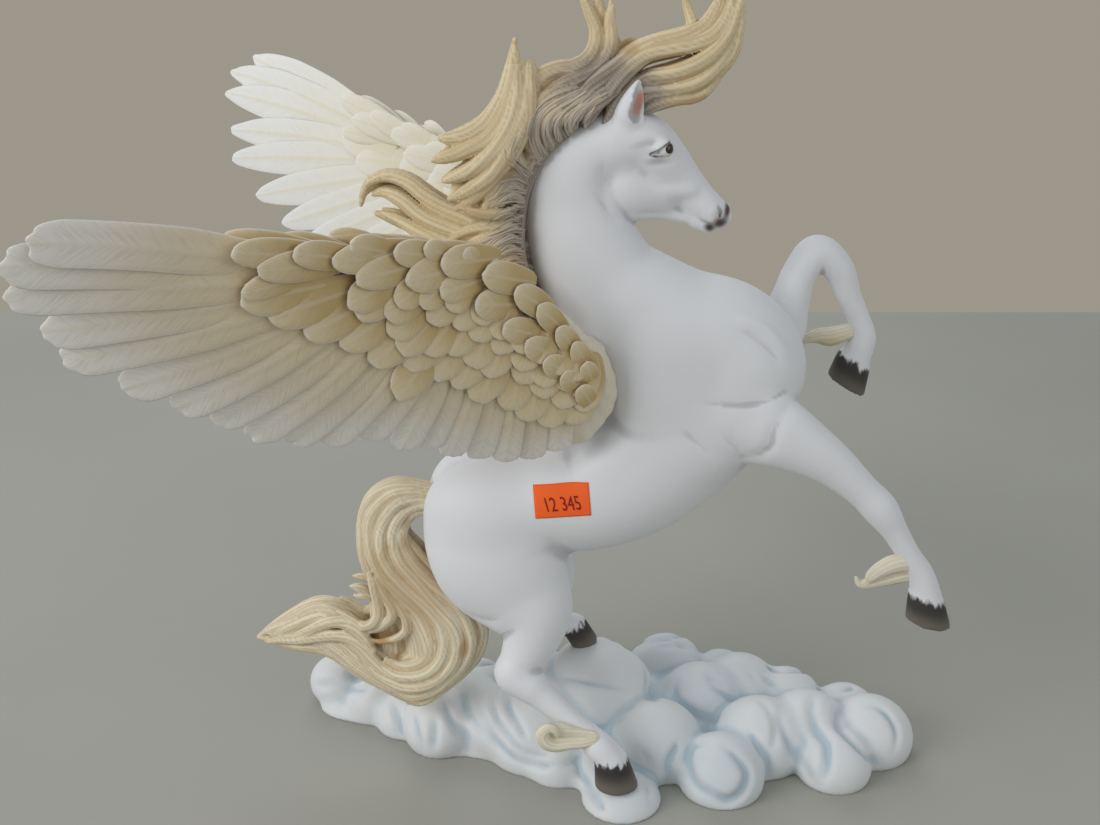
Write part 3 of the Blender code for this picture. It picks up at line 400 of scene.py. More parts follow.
    def skin(self):
        """Closed surface where the distance is nought: points in mm and four-sided faces."""
        f = self.field
        inside = f < 0.0
        corners = [f[a:f.shape[0] - 1 + a, b:f.shape[1] - 1 + b, c:f.shape[2] - 1 + c]
                   for a in (0, 1) for b in (0, 1) for c in (0, 1)]
        count = sum((v < 0).astype(np.int8) for v in corners)
        cells = np.argwhere((count > 0) & (count < 8))
        number = np.full(count.shape, -1, dtype=np.int64)
        number[tuple(cells.T)] = np.arange(len(cells))
        values = np.stack([v[tuple(cells.T)] for v in corners], axis=1)
        total = np.zeros((len(cells), 3))
        hits = np.zeros(len(cells))
        offsets = np.array([(a, b, c) for a in (0, 1) for b in (0, 1) for c in (0, 1)], float)
        for i in range(8):
            for j in range(i + 1, 8):
                if np.abs(offsets[i] - offsets[j]).sum() != 1:
                    continue
                va, vb = values[:, i], values[:, j]
                crosses = (va < 0) != (vb < 0)
                t = np.where(crosses, va / np.where(crosses, va - vb, 1.0), 0.0)
                spot = offsets[i] + (offsets[j] - offsets[i]) * t[:, None]
                total += spot * crosses[:, None]
                hits += crosses
        inner = total / hits[:, None]
        points = np.empty((len(cells), 3), dtype=np.float32)
        for k, axis in enumerate(self.axes):
            i = cells[:, k]
            points[:, k] = axis[i] + (axis[i + 1] - axis[i]) * inner[:, k]
        faces = []
        turns = {0: ((0, -1, -1), (0, 0, -1), (0, 0, 0), (0, -1, 0)),
                 1: ((-1, 0, -1), (-1, 0, 0), (0, 0, 0), (0, 0, -1)),
                 2: ((-1, -1, 0), (0, -1, 0), (0, 0, 0), (-1, 0, 0))}
        for k, ring in turns.items():
            low = [slice(0, -1) if j == k else slice(1, -1) for j in range(3)]
            high = [slice(1, None) if j == k else slice(1, -1) for j in range(3)]
            a, b = inside[tuple(low)], inside[tuple(high)]
            edges = np.argwhere(a != b)
            start = edges + [0 if j == k else 1 for j in range(3)]
            quad = np.stack([number[tuple((start + step).T)] for step in ring], axis=1)
            leaving = a[tuple(edges.T)]
            faces.append(np.where(leaving[:, None], quad, quad[:, ::-1]))
        return points, np.concatenate(faces)


def settle(clay, points, passes=2):
    """Draw the skin's points onto the surface itself."""
    for _ in range(passes):
        slope = clay.slope(points)
        size = np.maximum((slope ** 2).sum(1), 0.05)
        shift = np.clip(clay.sample(points) / size, -0.4, 0.4)
        points = points - slope * shift[:, None]
    return points


def mesh_from(name, points, faces):
    """Mesh of points in millimetres and four-sided faces."""
    mesh = bpy.data.meshes.new(name)
    mesh.vertices.add(len(points))
    mesh.vertices.foreach_set("co", (np.asarray(points, dtype=np.float32) * MM).ravel())
    mesh.loops.add(faces.size)
    mesh.loops.foreach_set("vertex_index", faces.ravel().astype(np.int32))
    mesh.polygons.add(len(faces))
    mesh.polygons.foreach_set("loop_start", np.arange(len(faces), dtype=np.int32) * faces.shape[1])
    mesh.update(calc_edges=True)
    mesh.validate()
    mesh.polygons.foreach_set("use_smooth", np.full(len(mesh.polygons), True))
    return mesh


def add_number(mesh, name, values):
    """Give each point of the mesh a number that the material reads."""
    attribute = mesh.attributes.new(name, "FLOAT", "POINT")
    attribute.data.foreach_set("value", np.asarray(values, dtype=np.float32))


def hollow_of(points, faces, passes=3):
    """How far each point lies in a hollow, as a share of a millimetre: below 0 on ridges."""
    spread = points.copy()
    pairs = np.concatenate([faces[:, [k, (k + 1) % faces.shape[1]]] for k in range(faces.shape[1])])
    degree = np.bincount(pairs.ravel(), minlength=len(points))[:, None]
    for _ in range(passes):
        total = np.zeros_like(spread)
        for k in range(3):
            total[:, k] = (np.bincount(pairs[:, 0], spread[pairs[:, 1], k], len(points))
                           + np.bincount(pairs[:, 1], spread[pairs[:, 0], k], len(points)))
        spread = total / np.maximum(degree, 1)
    a, b, c = points[faces[:, 0]], points[faces[:, 1]], points[faces[:, 2]]
    flat = np.cross(b - a, c - a)
    normal = np.zeros_like(points)
    for k in range(3):
        for corner in range(faces.shape[1]):
            normal[:, k] += np.bincount(faces[:, corner], flat[:, k], len(points))
    normal /= np.maximum(np.linalg.norm(normal, axis=1), 1e-9)[:, None]
    return ((spread - points) * normal).sum(1)


def steps_between(start, stop, fine_from, fine_to):
    """Axis of the grid, finer between two places."""
    before = np.arange(fine_from, start - BODY_STEP, -BODY_STEP)[::-1]
    fine = np.arange(fine_from, fine_to, HEAD_STEP)[1:]
    after = np.arange(fine[-1] + HEAD_STEP, stop + BODY_STEP, BODY_STEP)
    return np.concatenate([before, fine, after])


def hoof_frame(coronet, coronet_reach, sole, sole_reach):
    """Way down a hoof, way to its toe, and what turns places into shares of the two."""
    axis = np.array(sole) - np.array(coronet)
    toe = np.array(coronet_reach) + np.array(sole_reach)
    toe /= np.linalg.norm(toe)
    return axis, toe, np.linalg.inv(np.array([axis, toe]).T)


horse_clay = Clay(steps_between(*HORSE_X, *FINE_X), steps_between(*HORSE_Y, -FINE_Y, FINE_Y),
                  steps_between(*HORSE_Z, FINE_Z, HORSE_Z[1]))
for line in (TRUNK, WITHERS, NECK, BREAST):
    horse_clay.limb([(x, 0, z, r, share * BARREL) for x, z, r, share in line], 6.0, per_span=8)
for line, softness in ((HEAD, 6.0), (JOWL, 2.5), (JAW, 3.0), (CHIN, 1.2)):
    horse_clay.limb([(x, 0, z, r, share * CHEEKS) for x, z, r, share in line], softness, per_span=8)
for leg, softness in zip(LEGS, LEG_SOFTNESS):
    horse_clay.limb(leg, softness, per_span=7)
for x, y, z, rx, ry, rz, softness in MUSCLES:
    for side in (-1, 1):
        horse_clay.ball((x, y * side, z), (rx, ry, rz), softness)
for half_width, depth, points in CREASES:
    for side in (-1, 1):
        spread, ease = (CREASE_SPREAD, CREASE_EASE) if depth > 0 else (RIDGE_SPREAD, RIDGE_EASE)
        horse_clay.press(half_width * spread, depth * ease,
                         [(x, -y * side, z) for x, y, z in points])
for side in (-1, 1):
    for half_width, depth, points in LIDS:
        horse_clay.press(half_width, depth, [(x, -y * side, z) for x, y, z in points])
    horse_clay.limb([(x, y * side, z, r, w) for x, y, z, r, w in SOCKET], 0.3, carve=True)
    horse_clay.limb([(x, (y + NOSTRIL_OUT) * side, z, r, w) for x, y, z, r, w in NOSTRIL], 0.5,
                    carve=True)
    base = np.array(EAR_BASE) * (1, side, 1)
    lean = np.array(EAR_LEAN) * (1, side, 1)
    opens = np.array(EAR_OPENS) * (1, side, 1)
    horse_clay.limb([(*(base + lean * up), r, r * EAR_FLATNESS) for up, r in EAR], 1.4)
    out, wide, deep = EAR_HOLLOW
    horse_clay.limb([(*(base + lean * (up + 1.0) + opens * r * out), r * wide, r * deep)
                     for up, r in EAR[1:-1]], 0.5, carve=True)
for y, coronet, coronet_reach, sole, sole_reach, share in HOOVES:
    low = np.minimum(coronet, sole) - HOOF_REACH
    high = np.maximum(coronet, sole) + HOOF_REACH
    cut, x, dy, z = horse_clay.window((low[0], y - HOOF_REACH, low[1]),
                                      (high[0], y + HOOF_REACH, high[1]))
    axis, toe, back = hoof_frame(coronet, coronet_reach, sole, sole_reach)
    u = (x - coronet[0]) * back[0, 0] + (z - coronet[1]) * back[0, 1]
    s = (x - coronet[0]) * back[1, 0] + (z - coronet[1]) * back[1, 1]
    t = np.clip(u, -0.2, 1.0)
    deep = np.hypot(*coronet_reach) * (1 - t) + np.hypot(*sole_reach) * t
    wide = HOOF_WIDTH * share * (0.86 + 0.14 * t)
    k0 = np.sqrt((s / deep) ** 2 + ((dy - y) / wide) ** 2)
    k1 = np.sqrt((s / deep ** 2) ** 2 + ((dy - y) / wide ** 2) ** 2) + 1e-6
    wall_gap = k0 * (k0 - 1.0) / k1
    rise = abs(axis[0] * toe[1] - axis[1] * toe[0])
    form = np.maximum(np.maximum(wall_gap, (u - 1.0) * rise), (-HOOF_RIM - u) * rise)
    horse_clay.melt(cut, form.astype(np.float32), 0.8)
points, faces = horse_clay.skin()
points = settle(horse_clay, points)
hoof_depth = np.full(len(points), -9.0)
for y, coronet, coronet_reach, sole, sole_reach, share in HOOVES:
    axis, toe, back = hoof_frame(coronet, coronet_reach, sole, sole_reach)
    u = (points[:, 0] - coronet[0]) * back[0, 0] + (points[:, 2] - coronet[1]) * back[0, 1]
    s = (points[:, 0] - coronet[0]) * back[1, 0] + (points[:, 2] - coronet[1]) * back[1, 1]
    mine = (np.abs(s) < HOOF_REACH) & (np.abs(points[:, 1] - y) < 9.0) & (u > -0.6) & (u < 1.3)
    hoof_depth[mine] = (u * np.linalg.norm(axis))[mine]
lash = np.full(len(points), FAR_AWAY)
for line in LASHES:
    for x, y, z in spline(line, 12):
        for side in (-1, 1):
            gap = np.linalg.norm(points - (x, y * side, z), axis=1)
            lash = np.minimum(lash, gap)
horse_mesh = mesh_from("horse", points, faces)
add_number(horse_mesh, "lash", np.clip(LASH_REACH - lash, 0.0, LASH_REACH))
add_number(horse_mesh, "hoof_depth", hoof_depth)
add_number(horse_mesh, "hollow", hollow_of(points, faces, 6))
horse = bpy.data.objects.new("horse", horse_mesh)
bpy.context.collection.objects.link(horse)


def named_number(tree, name):
    """Node that reads a number from the mesh."""
    node = tree.nodes.new("ShaderNodeAttribute")
    node.attribute_name = name
    return node.outputs["Fac"]


def feed(tree, socket, value):
    """Link a socket to another node's, or set it."""
    if isinstance(value, bpy.types.NodeSocket):
        tree.links.new(value, socket)
    else:
        socket.default_value = value


def work_out(tree, operation, *values, clamp=False):
    """Node that works out one number from others."""
    node = tree.nodes.new("ShaderNodeMath")
    node.operation = operation
    node.use_clamp = clamp
    for socket, value in zip(node.inputs, values):
        feed(tree, socket, value)
    return node.outputs["Value"]


def band(tree, value, low, high, low_out=0.0, high_out=1.0):
    """Smooth step of a value between two limits."""
    node = tree.nodes.new("ShaderNodeMapRange")
    node.interpolation_type = "SMOOTHSTEP"
    for name, number in (("Value", value), ("From Min", low), ("From Max", high),
                         ("To Min", low_out), ("To Max", high_out)):
        feed(tree, node.inputs[name], number)
    return node.outputs["Result"]


def blend_paint(tree, amount, below, above):
    """Lay one colour over another by an amount from 0 to 1."""
    node = tree.nodes.new("ShaderNodeMix")
    node.data_type = "RGBA"
    feed(tree, node.inputs["Factor"], amount)
    for socket, colour in ((node.inputs["A"], below), (node.inputs["B"], above)):
        feed(tree, socket, (*colour, 1.0) if isinstance(colour, tuple) else colour)
    return node.outputs["Result"]


def shared_effect(name, inputs, outputs):
    """Empty shader node group with named sockets. Gives its tree, its start and its end."""
    tree = bpy.data.node_groups.new(name, "ShaderNodeTree")
    for in_out, sockets in (("INPUT", inputs), ("OUTPUT", outputs)):
        for socket, kind in sockets:
            tree.interface.new_socket(socket, in_out=in_out, socket_type="NodeSocket" + kind)
    return tree, tree.nodes.new("NodeGroupInput").outputs, tree.nodes.new("NodeGroupOutput").inputs


def placed(tree, effect, **values):
    """Shared effect placed in a material with its own values. Gives its outputs."""
    node = tree.nodes.new("ShaderNodeGroup")
    node.node_tree = effect
    for name, value in values.items():
        node.inputs[name.replace("_", " ")].default_value = value
    return node.outputs


NOISE, noise_in, noise_out = shared_effect(
    "cloudiness", (("Scale", "Float"), ("Detail", "Float"), ("Stretch", "Vector")),
    (("Fac", "Float"),))
place = NOISE.nodes.new("ShaderNodeTexCoord")
lie = NOISE.nodes.new("ShaderNodeMapping")
noise = NOISE.nodes.new("ShaderNodeTexNoise")
NOISE.links.new(place.outputs["Object"], lie.inputs["Vector"])
NOISE.links.new(noise_in["Stretch"], lie.inputs["Scale"])
NOISE.links.new(lie.outputs["Vector"], noise.inputs["Vector"])
NOISE.links.new(noise_in["Scale"], noise.inputs["Scale"])
NOISE.links.new(noise_in["Detail"], noise.inputs["Detail"])
NOISE.links.new(noise.outputs["Fac"], noise_out["Fac"])

SPOT, spot_in, spot_out = shared_effect(
    "near_spot", (("Place", "Vector"), ("Tilt", "Vector"), ("Radii", "Vector")),
    (("Mask", "Float"),))
place = SPOT.nodes.new("ShaderNodeTexCoord")
both = SPOT.nodes.new("ShaderNodeVectorMath")
both.operation = "MULTIPLY"
both.inputs[1].default_value = (1.0, 0.0, 1.0)
lie = SPOT.nodes.new("ShaderNodeMapping")
lie.vector_type = "TEXTURE"
far = SPOT.nodes.new("ShaderNodeVectorMath")
far.operation = "LENGTH"
SPOT.links.new(place.outputs["Object"], both.inputs[0])
SPOT.links.new(both.outputs["Vector"], lie.inputs["Vector"])
SPOT.links.new(spot_in["Place"], lie.inputs["Location"])
SPOT.links.new(spot_in["Tilt"], lie.inputs["Rotation"])
SPOT.links.new(spot_in["Radii"], lie.inputs["Scale"])
SPOT.links.new(lie.outputs["Vector"], far.inputs[0])
SPOT.links.new(work_out(SPOT, "SUBTRACT", 1.0, far.outputs["Value"], clamp=True), spot_out["Mask"])


def cloudiness(tree, scale, detail=3.0, stretch=(1.0, 1.0, 1.0)):
    """Noise over the piece's own coordinates."""
    return placed(tree, NOISE, Scale=scale, Detail=detail, Stretch=stretch)["Fac"]


def near_spot(tree, spot, radii, tilt=0.0):
    """1 at a place on either side of the horse, falling to 0 at an ellipse round it."""
    return placed(tree, SPOT, Place=(spot[0] * MM, 0.0, spot[1] * MM),
                  Tilt=(0.0, math.radians(tilt), 0.0),
                  Radii=(radii[0] * MM, 1.0, radii[1] * MM))["Mask"]


def new_finish(name, roughness, grain=0.02):
    """Matt painted resin with a fine cast grain. Gives the material, its tree and its shader."""
    finish = bpy.data.materials.new(name)
    finish.use_nodes = True
    tree = finish.node_tree
    shader = tree.nodes["Principled BSDF"]
    shader.inputs["Roughness"].default_value = roughness
    shader.inputs["Specular IOR Level"].default_value = 0.3
    bump = tree.nodes.new("ShaderNodeBump")
    bump.name = "grain"
    bump.inputs["Strength"].default_value = grain
    bump.inputs["Distance"].default_value = 0.3 * MM
    tree.links.new(cloudiness(tree, 900.0, 2.0), bump.inputs["Height"])
    tree.links.new(bump.outputs["Normal"], shader.inputs["Normal"])
    return finish, tree, shader


WHITE = (0.76, 0.765, 0.785)
HOLLOW_SHADE_GREY = (0.56, 0.56, 0.58)
EAR_PINK = (0.66, 0.34, 0.27)
LASH_BROWN = (0.05, 0.038, 0.034)
SOFT_SHADE = (0.47, 0.45, 0.44)
MUZZLE_BROWN = (0.10, 0.065, 0.05)
HOOF_DARK = (0.05, 0.045, 0.04)
HOOF_PALE = (0.17, 0.15, 0.125)
EAR_SPOT = ((29.3, 260.5), (2.3, 6.4), 16.0)
# Soft spots of painted shade on both sides: below the eye, behind and above it, at the nostril, and on the
# neck at the mane's lower roots.
SOFT_SPOTS = (  # x, z, radii, tilt, strength
    ((35.8, 241.9), (5.6, 2.2), -8.0, 0.75), ((30.5, 247.6), (6.0, 2.0), -14.0, 0.45),
    ((57.6, 222.6), (3.4, 4.4), 20.0, 0.8), ((6.0, 191.0), (7.0, 18.0), -38.0, 0.5),
)
MUZZLE_SPOTS = (((58.3, 219.9), (4.6, 3.4), -20.0), ((60.9, 224.0), (2.2, 4.8), 15.0),
                ((54.9, 218.0), (3.3, 2.7), 30.0))
bisque, tree, shader = new_finish("white_bisque_paint", 0.55)
# Painted shade: grey laid into the casting's hollows.
hollow = band(tree, named_number(tree, "hollow"), 0.03, 0.22)
paint = blend_paint(tree, hollow, WHITE, HOLLOW_SHADE_GREY)
pink = near_spot(tree, *EAR_SPOT)
paint = blend_paint(tree, band(tree, pink, 0.05, 0.6), paint, EAR_PINK)
# Painted shade in the soft spots.
for spot, radii, tilt, strength in SOFT_SPOTS:
    soft = work_out(tree, "MULTIPLY", band(tree, near_spot(tree, spot, radii, tilt), 0.0, 0.9), strength)
    paint = blend_paint(tree, soft, paint, SOFT_SHADE)
lash_line = work_out(tree, "MULTIPLY", band(tree, named_number(tree, "lash"), 0.6, 1.05), 0.9)
paint = blend_paint(tree, lash_line, paint, LASH_BROWN)
for spot, radii, tilt in MUZZLE_SPOTS:
    dark = near_spot(tree, spot, radii, tilt)
    paint = blend_paint(tree, band(tree, dark, 0.08, 0.85), paint, MUZZLE_BROWN)
depth = named_number(tree, "hoof_depth")
ragged = work_out(tree, "MULTIPLY_ADD", cloudiness(tree, 620.0, 1.5, (1.0, 1.0, 0.35)),
                  HOOF_RAGGED, -HOOF_RAGGED / 2)
edge = work_out(tree, "ADD", depth, ragged)
horn = blend_paint(tree, band(tree, depth, 3.0, 11.0), HOOF_DARK, HOOF_PALE)
paint = blend_paint(tree, band(tree, edge, -1.0, 1.4), paint, horn)
tree.links.new(paint, shader.inputs["Base Color"])
horse_mesh.materials.append(bisque)
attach(horse, "root")
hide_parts("horse_body")

# Eyes: a ball in each socket, glazed white with a dark brown iris that looks forward. They
# are part of the horse's casting, and only their gloss is their own.
EYE = (38.4, 7.45, 245.5)
EYE_RADIUS = 2.85
EYE_OVAL = (3.4, 2.6)
EYE_OVAL_SHIFT = 0.4
EYE_OVAL_TILT = -30.0
IRIS = (40.0, 245.9)
IRIS_RADIUS = 1.8
EYE_WHITE = (0.74, 0.73, 0.72)
EYE_RIM = (0.42, 0.36, 0.33)
IRIS_BROWN = (0.035, 0.022, 0.016)
eye_paint, tree, shader = new_finish("eye_glaze", 0.12, 0.0)
shader.inputs["Specular IOR Level"].default_value = 0.5
iris = near_spot(tree, IRIS, (IRIS_RADIUS, IRIS_RADIUS))
ball = near_spot(tree, (EYE[0] + EYE_OVAL_SHIFT, EYE[2]), EYE_OVAL, EYE_OVAL_TILT)
paint = blend_paint(tree, band(tree, ball, 0.0, 0.45), EYE_RIM, EYE_WHITE)
paint = blend_paint(tree, band(tree, iris, 0.0, 0.18), paint, IRIS_BROWN)
tree.links.new(paint, shader.inputs["Base Color"])
eye_mesh = bpy.data.meshes.new("eyes")
bm = bmesh.new()
for side in (-1, 1):
    bmesh.ops.create_uvsphere(bm, u_segments=32, v_segments=20, radius=EYE_RADIUS * MM,
                              matrix=Matrix.Translation((EYE[0] * MM, EYE[1] * side * MM, EYE[2] * MM)))
for face in bm.faces:
    face.smooth = True
bm.to_mesh(eye_mesh)
bm.free()
eye_mesh.materials.append(eye_paint)
eyes = bpy.data.objects.new("eyes", eye_mesh)
bpy.context.collection.objects.link(eyes)
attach(eyes, "root")
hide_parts("horse_body")

# Wings: two castings with layered feathers on both faces, glued on at the shoulders. They
# are painted cream over an ochre wash, whiter at the tips, with painted shade where the
# feathers crowd over each other and a painted highlight along each feather's rim. The near
# one is laid out feather by feather on a bowed sheet, and the far one is its mirror image,
# turned up a little.
WING_BOW = [-34.09, 55.6, 9.57, -2.44, 61.28, 49.75, -9.76, 6.09, 23.08, -2.95]
BOW_CENTRE = 190.0
WING_ARM = [
    (15.5, -18, 162.0), (12.5, -25, 176.0), (1.7, -33, 192.1), (-14.4, -42, 208.5),
    (-29.6, -50, 218.3), (-45.5, -60, 222.9), (-67.2, -74, 226.7), (-85.8, -88, 229.9),
]
ARM_RADIUS = 6.0
ARM_TAPER = 0.45
ROOT_PAD = [(11.5, -18.5, 175, 8.5), (12.5, -18.5, 162.5, 11), (8.5, -18.5, 152, 9)]
ROOT_DEPTH = 6.2
FAR_WING_LIFT = math.radians(7.3)
SHOULDER = (16.0, 25.0, 172.0)
FLIGHT = [  # root x, z, tip x, z, width
    (-72, 224.5, -134.5, 241.6, 14.0), (-73, 222.5, -143.0, 235.2, 14.5), (-73, 220, -144.2, 227.0, 15),
    (-71, 217.5, -139.1, 213.2, 14.5), (-68, 214.5, -137.6, 202.9, 14.5), (-65, 211, -125.1, 190.4, 14.5),
    (-60, 208.5, -112.5, 181.8, 14), (-54, 206, -103.0, 174.8, 13.5), (-49, 202.5, -93.9, 166.7, 13),
    (-44, 199, -83.0, 162.5, 12.5), (-40, 197, -72.2, 160.6, 12.5), (-36, 194.5, -60.0, 160.2, 12.5),
    (-32, 191, -49.5, 154.0, 11.5), (-28, 187, -41.6, 152.6, 11), (-23, 183, -33.8, 148.0, 10.5),
    (-17, 178, -24.5, 144.6, 10.5), (-12, 173, -15.6, 142.2, 10.5), (-5, 168, -6.4, 141.4, 10.5),
    (3, 164, 2.6, 144.0, 10.5),
]
COVERTS = {  # length, width, step out of the wing's face, then the tips x, z
    "greater": (25.0, 13.0, 2.2, [
        (-89.5, 219.0), (-82.5, 212.0), (-74.0, 204.5), (-64.5, 198.9), (-56.5, 191.5), (-49.2, 177.0),
        (-45.5, 186.7), (-37.4, 181.8), (-31.4, 176.7), (-24.1, 170.5), (-13.6, 165.0), (-7.7, 160.0),
        (-0.7, 156.5), (7.5, 155.5)]),
    "median": (19.0, 12.0, 3.4, [
        (-60.5, 209.0), (-50.8, 199.9), (-48.4, 193.2), (-40.4, 191.5), (-33.1, 189.6), (-26.5, 184.3),
        (-20.8, 179.5), (-10.0, 174.5), (-3.7, 168.6), (3.4, 163.6), (10.2, 161.8)]),
    "lesser": (15.0, 10.5, 4.4, [
        (-62.8, 212.9), (-51.9, 206.0), (-39.8, 202.3), (-32.1, 198.6), (-26.5, 193.0), (-18.9, 187.0),
        (-11.8, 180.3), (-3.7, 173.5), (3.4, 170.0), (9.0, 166.5)]),
    "small": (11.0, 9.0, 5.3, [
        (-49.2, 210.6), (-42.4, 208.9), (-34.1, 205.3), (-26.1, 199.5), (-19.3, 193.5), (-12.8, 187.0),
        (-6.1, 181.5), (0.5, 177.0), (5.5, 173.5)]),
}
BAND = [  # scallops of the leading edge: tip x, z, length, width, step out, turn from the arm
    (-90.4, 234.4, 26, 9.5, 3.6, 6), (-84.5, 227.8, 27, 10.0, 4.2, -4), (-88.8, 221.6, 22, 8.5, 3.4, -16),
    (-76.0, 231.6, 20, 9.0, 5.2, 10), (-66.4, 226.6, 24, 10.0, 5.6, -6), (-60.4, 220.4, 24, 10.5, 5.6, -10),
    (-61.6, 231.0, 17, 8.5, 5.6, 16), (-47.2, 217.2, 24, 12.0, 6.4, -12), (-50.4, 226.4, 18, 9.0, 6.4, 8),
    (-37.4, 211.2, 19, 10.5, 6.2, -22), (-37.6, 220.0, 20, 11.0, 7.2, -8), (-42.1, 226.0, 14, 7.5, 6.4, 18),
    (-27.3, 205.6, 18, 11.0, 6.8, -20), (-25.6, 214.5, 20, 10.5, 7.8, -8), (-31.0, 222.0, 13, 7.5, 6.4, 18),
    (-18.8, 197.0, 17, 9.5, 7.0, -18), (-15.5, 207.5, 17, 9.5, 7.8, -4), (-21.9, 217.0, 11, 7.0, 4.8, 22),
    (-11.7, 190.2, 15, 9.0, 7.0, -16), (-8.0, 201.0, 14, 8.5, 7.6, 0), (-12.4, 209.0, 9, 6.0, 4.6, 24),
    (-5.2, 183.6, 13, 8.5, 7.0, -14), (-1.2, 193.0, 13, 8.0, 7.4, 2), (1.0, 177.6, 11, 8.0, 6.8, -14),
    (4.2, 187.0, 12, 7.5, 7.2, 2), (7.0, 172.2, 10, 7.5, 6.6, -14), (8.2, 180.0, 10, 7.0, 7.0, 4),
]
BLADE_SIDES = (-1.0, -0.94, -0.72, -0.42, -0.16, 0.0, 0.16, 0.42, 0.72, 0.94, 1.0)
FLIGHT_THICKNESS = 1.5
COVERT_THICKNESS = 1.6
FLIGHT_TILT = math.radians(8.0)
COVERT_TILT = math.radians(4.0)
FLIGHT_SHAFT = 0.34
COVERT_SHAFT = 0.10
BAND_PITCH = 2.0
FLATTER_FROM = -24.0
FLATTER_OVER = 22.0
PAD_CENTRE = (-6.0, 178.0)
PAD_GROOVES = 34
PAD_GROOVE_DEPTH = 0.32


def bow(x, z):
    """Depth y of the wing's sheet at a place in the side view."""
    x, z = np.asarray(x) / 100.0, (np.asarray(z) - BOW_CENTRE) / 100.0
    terms = (1.0, x, z, x * x, x * z, z * z, x ** 3, x * x * z, x * z * z, z ** 3)
    return sum(c * t for c, t in zip(WING_BOW, terms))


def bow_normal(x, z):
    """Direction out of the near face of the sheet."""
    slope_x = (bow(x + 0.5, z) - bow(x - 0.5, z))
    slope_z = (bow(x, z + 0.5) - bow(x, z - 0.5))
    normal = np.array([slope_x, -1.0, slope_z])
    return normal / np.linalg.norm(normal)


def barb_flow(x, z):
    """Way the feathers point at a place: that of the flight feathers round it."""
    flow = np.zeros(2)
    for rx, rz, tx, tz, _ in FLIGHT:
        run = np.array([tx - rx, tz - rz])
        length = np.linalg.norm(run)
        near = np.clip(((x - rx) * run[0] + (z - rz) * run[1]) / length ** 2, 0, 1)
        gap2 = (x - rx - run[0] * near) ** 2 + (z - rz - run[1] * near) ** 2
        flow += run / length / (gap2 + 30.0)
    return flow / np.linalg.norm(flow)


def blade_template(name, steps, shoulder, tip_share, root_share, shaft_rise, thinning, bluntness):
    """Closed feather blade, 1 long and 1 wide, with a raised shaft and a rounded tip."""
    along = np.concatenate([np.linspace(0.0, shoulder, steps), shoulder + (1 - shoulder)
                            * np.sin(np.linspace(0, math.pi / 2, steps // 2 + 1))[1:]])
    points, marks, faces = [], [], []
    count = len(BLADE_SIDES)
    for v in along:
        beyond = max(v - shoulder, 0.0) / (1.0 - shoulder)
        broad = root_share + (1.0 - root_share) * min(v / 0.45, 1.0) ** (0.8 if root_share > 0.5 else 0.5)
        broad *= tip_share + (1.0 - tip_share) * math.sqrt(max(1.0 - beyond ** bluntness, 0.0))
        broad = max(broad - tip_share * max(beyond - 0.8, 0.0) * 4.6, 0.02)
        thick = (0.5 - thinning * v) * math.sqrt(max(1.0 - beyond ** 6, 0.0))
        thick *= math.sqrt(min(0.06 + v / 0.15, 1.0))
        for face in (1.0, -1.0):
            for u in BLADE_SIDES:
                body = math.sqrt(max(1.0 - u ** 4, 0.0)) * thick
                shaft = shaft_rise * math.exp(-(u / 0.09) ** 2) * (1.0 - 0.75 * v)
                points.append((v, u * broad * 0.5, face * (body + shaft)))
                marks.append((v, u, u * broad))
    ring = 2 * count
    for i in range(len(along) - 1):
        for k in range(count - 1):
            a = i * ring + k
            faces.append((a, a + ring, a + ring + 1, a + 1))
            b = a + count
            faces.append((b, b + 1, b + ring + 1, b + ring))
    last = (len(along) - 1) * ring
    for k in range(count - 1):
        faces.append((k, k + 1, k + 1 + count, k + count))
        faces.append((last + k, last + k + count, last + k + 1 + count, last + k + 1))
    mesh = bpy.data.meshes.new(name)
    mesh.from_pydata(points, [], faces)
    for label, column in (("along", 0), ("across", 1), ("lateral", 2)):
        add_number(mesh, label, [m[column] for m in marks])
    bm = bmesh.new()
    bm.from_mesh(mesh)
    bmesh.ops.remove_doubles(bm, verts=bm.verts, dist=1e-5)
    bmesh.ops.recalc_face_normals(bm, faces=bm.faces)
    for face in bm.faces:
        face.smooth = True
    bm.to_mesh(mesh)
    bm.free()
    blade = bpy.data.objects.new(name, mesh)
    bpy.context.collection.objects.link(blade)
    return blade


def quill_points(name, quills):
    """Points that carry one feather each: place, turn, size, bow, sweep, tone and seed."""
    mesh = bpy.data.meshes.new(name)
    mesh.from_pydata([q["place"] * MM for q in quills], [], [])
    turn = mesh.attributes.new("turn", "QUATERNION", "POINT")
    turn.data.foreach_set("value", np.array([q["turn"] for q in quills], dtype=np.float32).ravel())
    size = mesh.attributes.new("size", "FLOAT_VECTOR", "POINT")
    size.data.foreach_set("vector", np.array([q["size"] * MM for q in quills], dtype=np.float32).ravel())
    for label in ("bow", "sweep", "tone", "seed", "length", "width"):
        add_number(mesh, label, [q[label] for q in quills])
    quilled = bpy.data.objects.new(name, mesh)
    bpy.context.collection.objects.link(quilled)
    return quilled


def nodes_in(tree, kind, **sockets):
    """Add a node with its sockets set or linked by name."""
    node = tree.nodes.new(kind)
    for name, value in sockets.items():
        feed(tree, node.inputs[name.replace("_", " ")], value)
    return node


def read_mark(tree, name, kind="FLOAT"):
    """Node that reads a named attribute in Geometry Nodes."""
    node = nodes_in(tree, "GeometryNodeInputNamedAttribute", Name=name)
    node.data_type = kind
    return next(s for s in node.outputs if s.enabled and s.name == "Attribute")


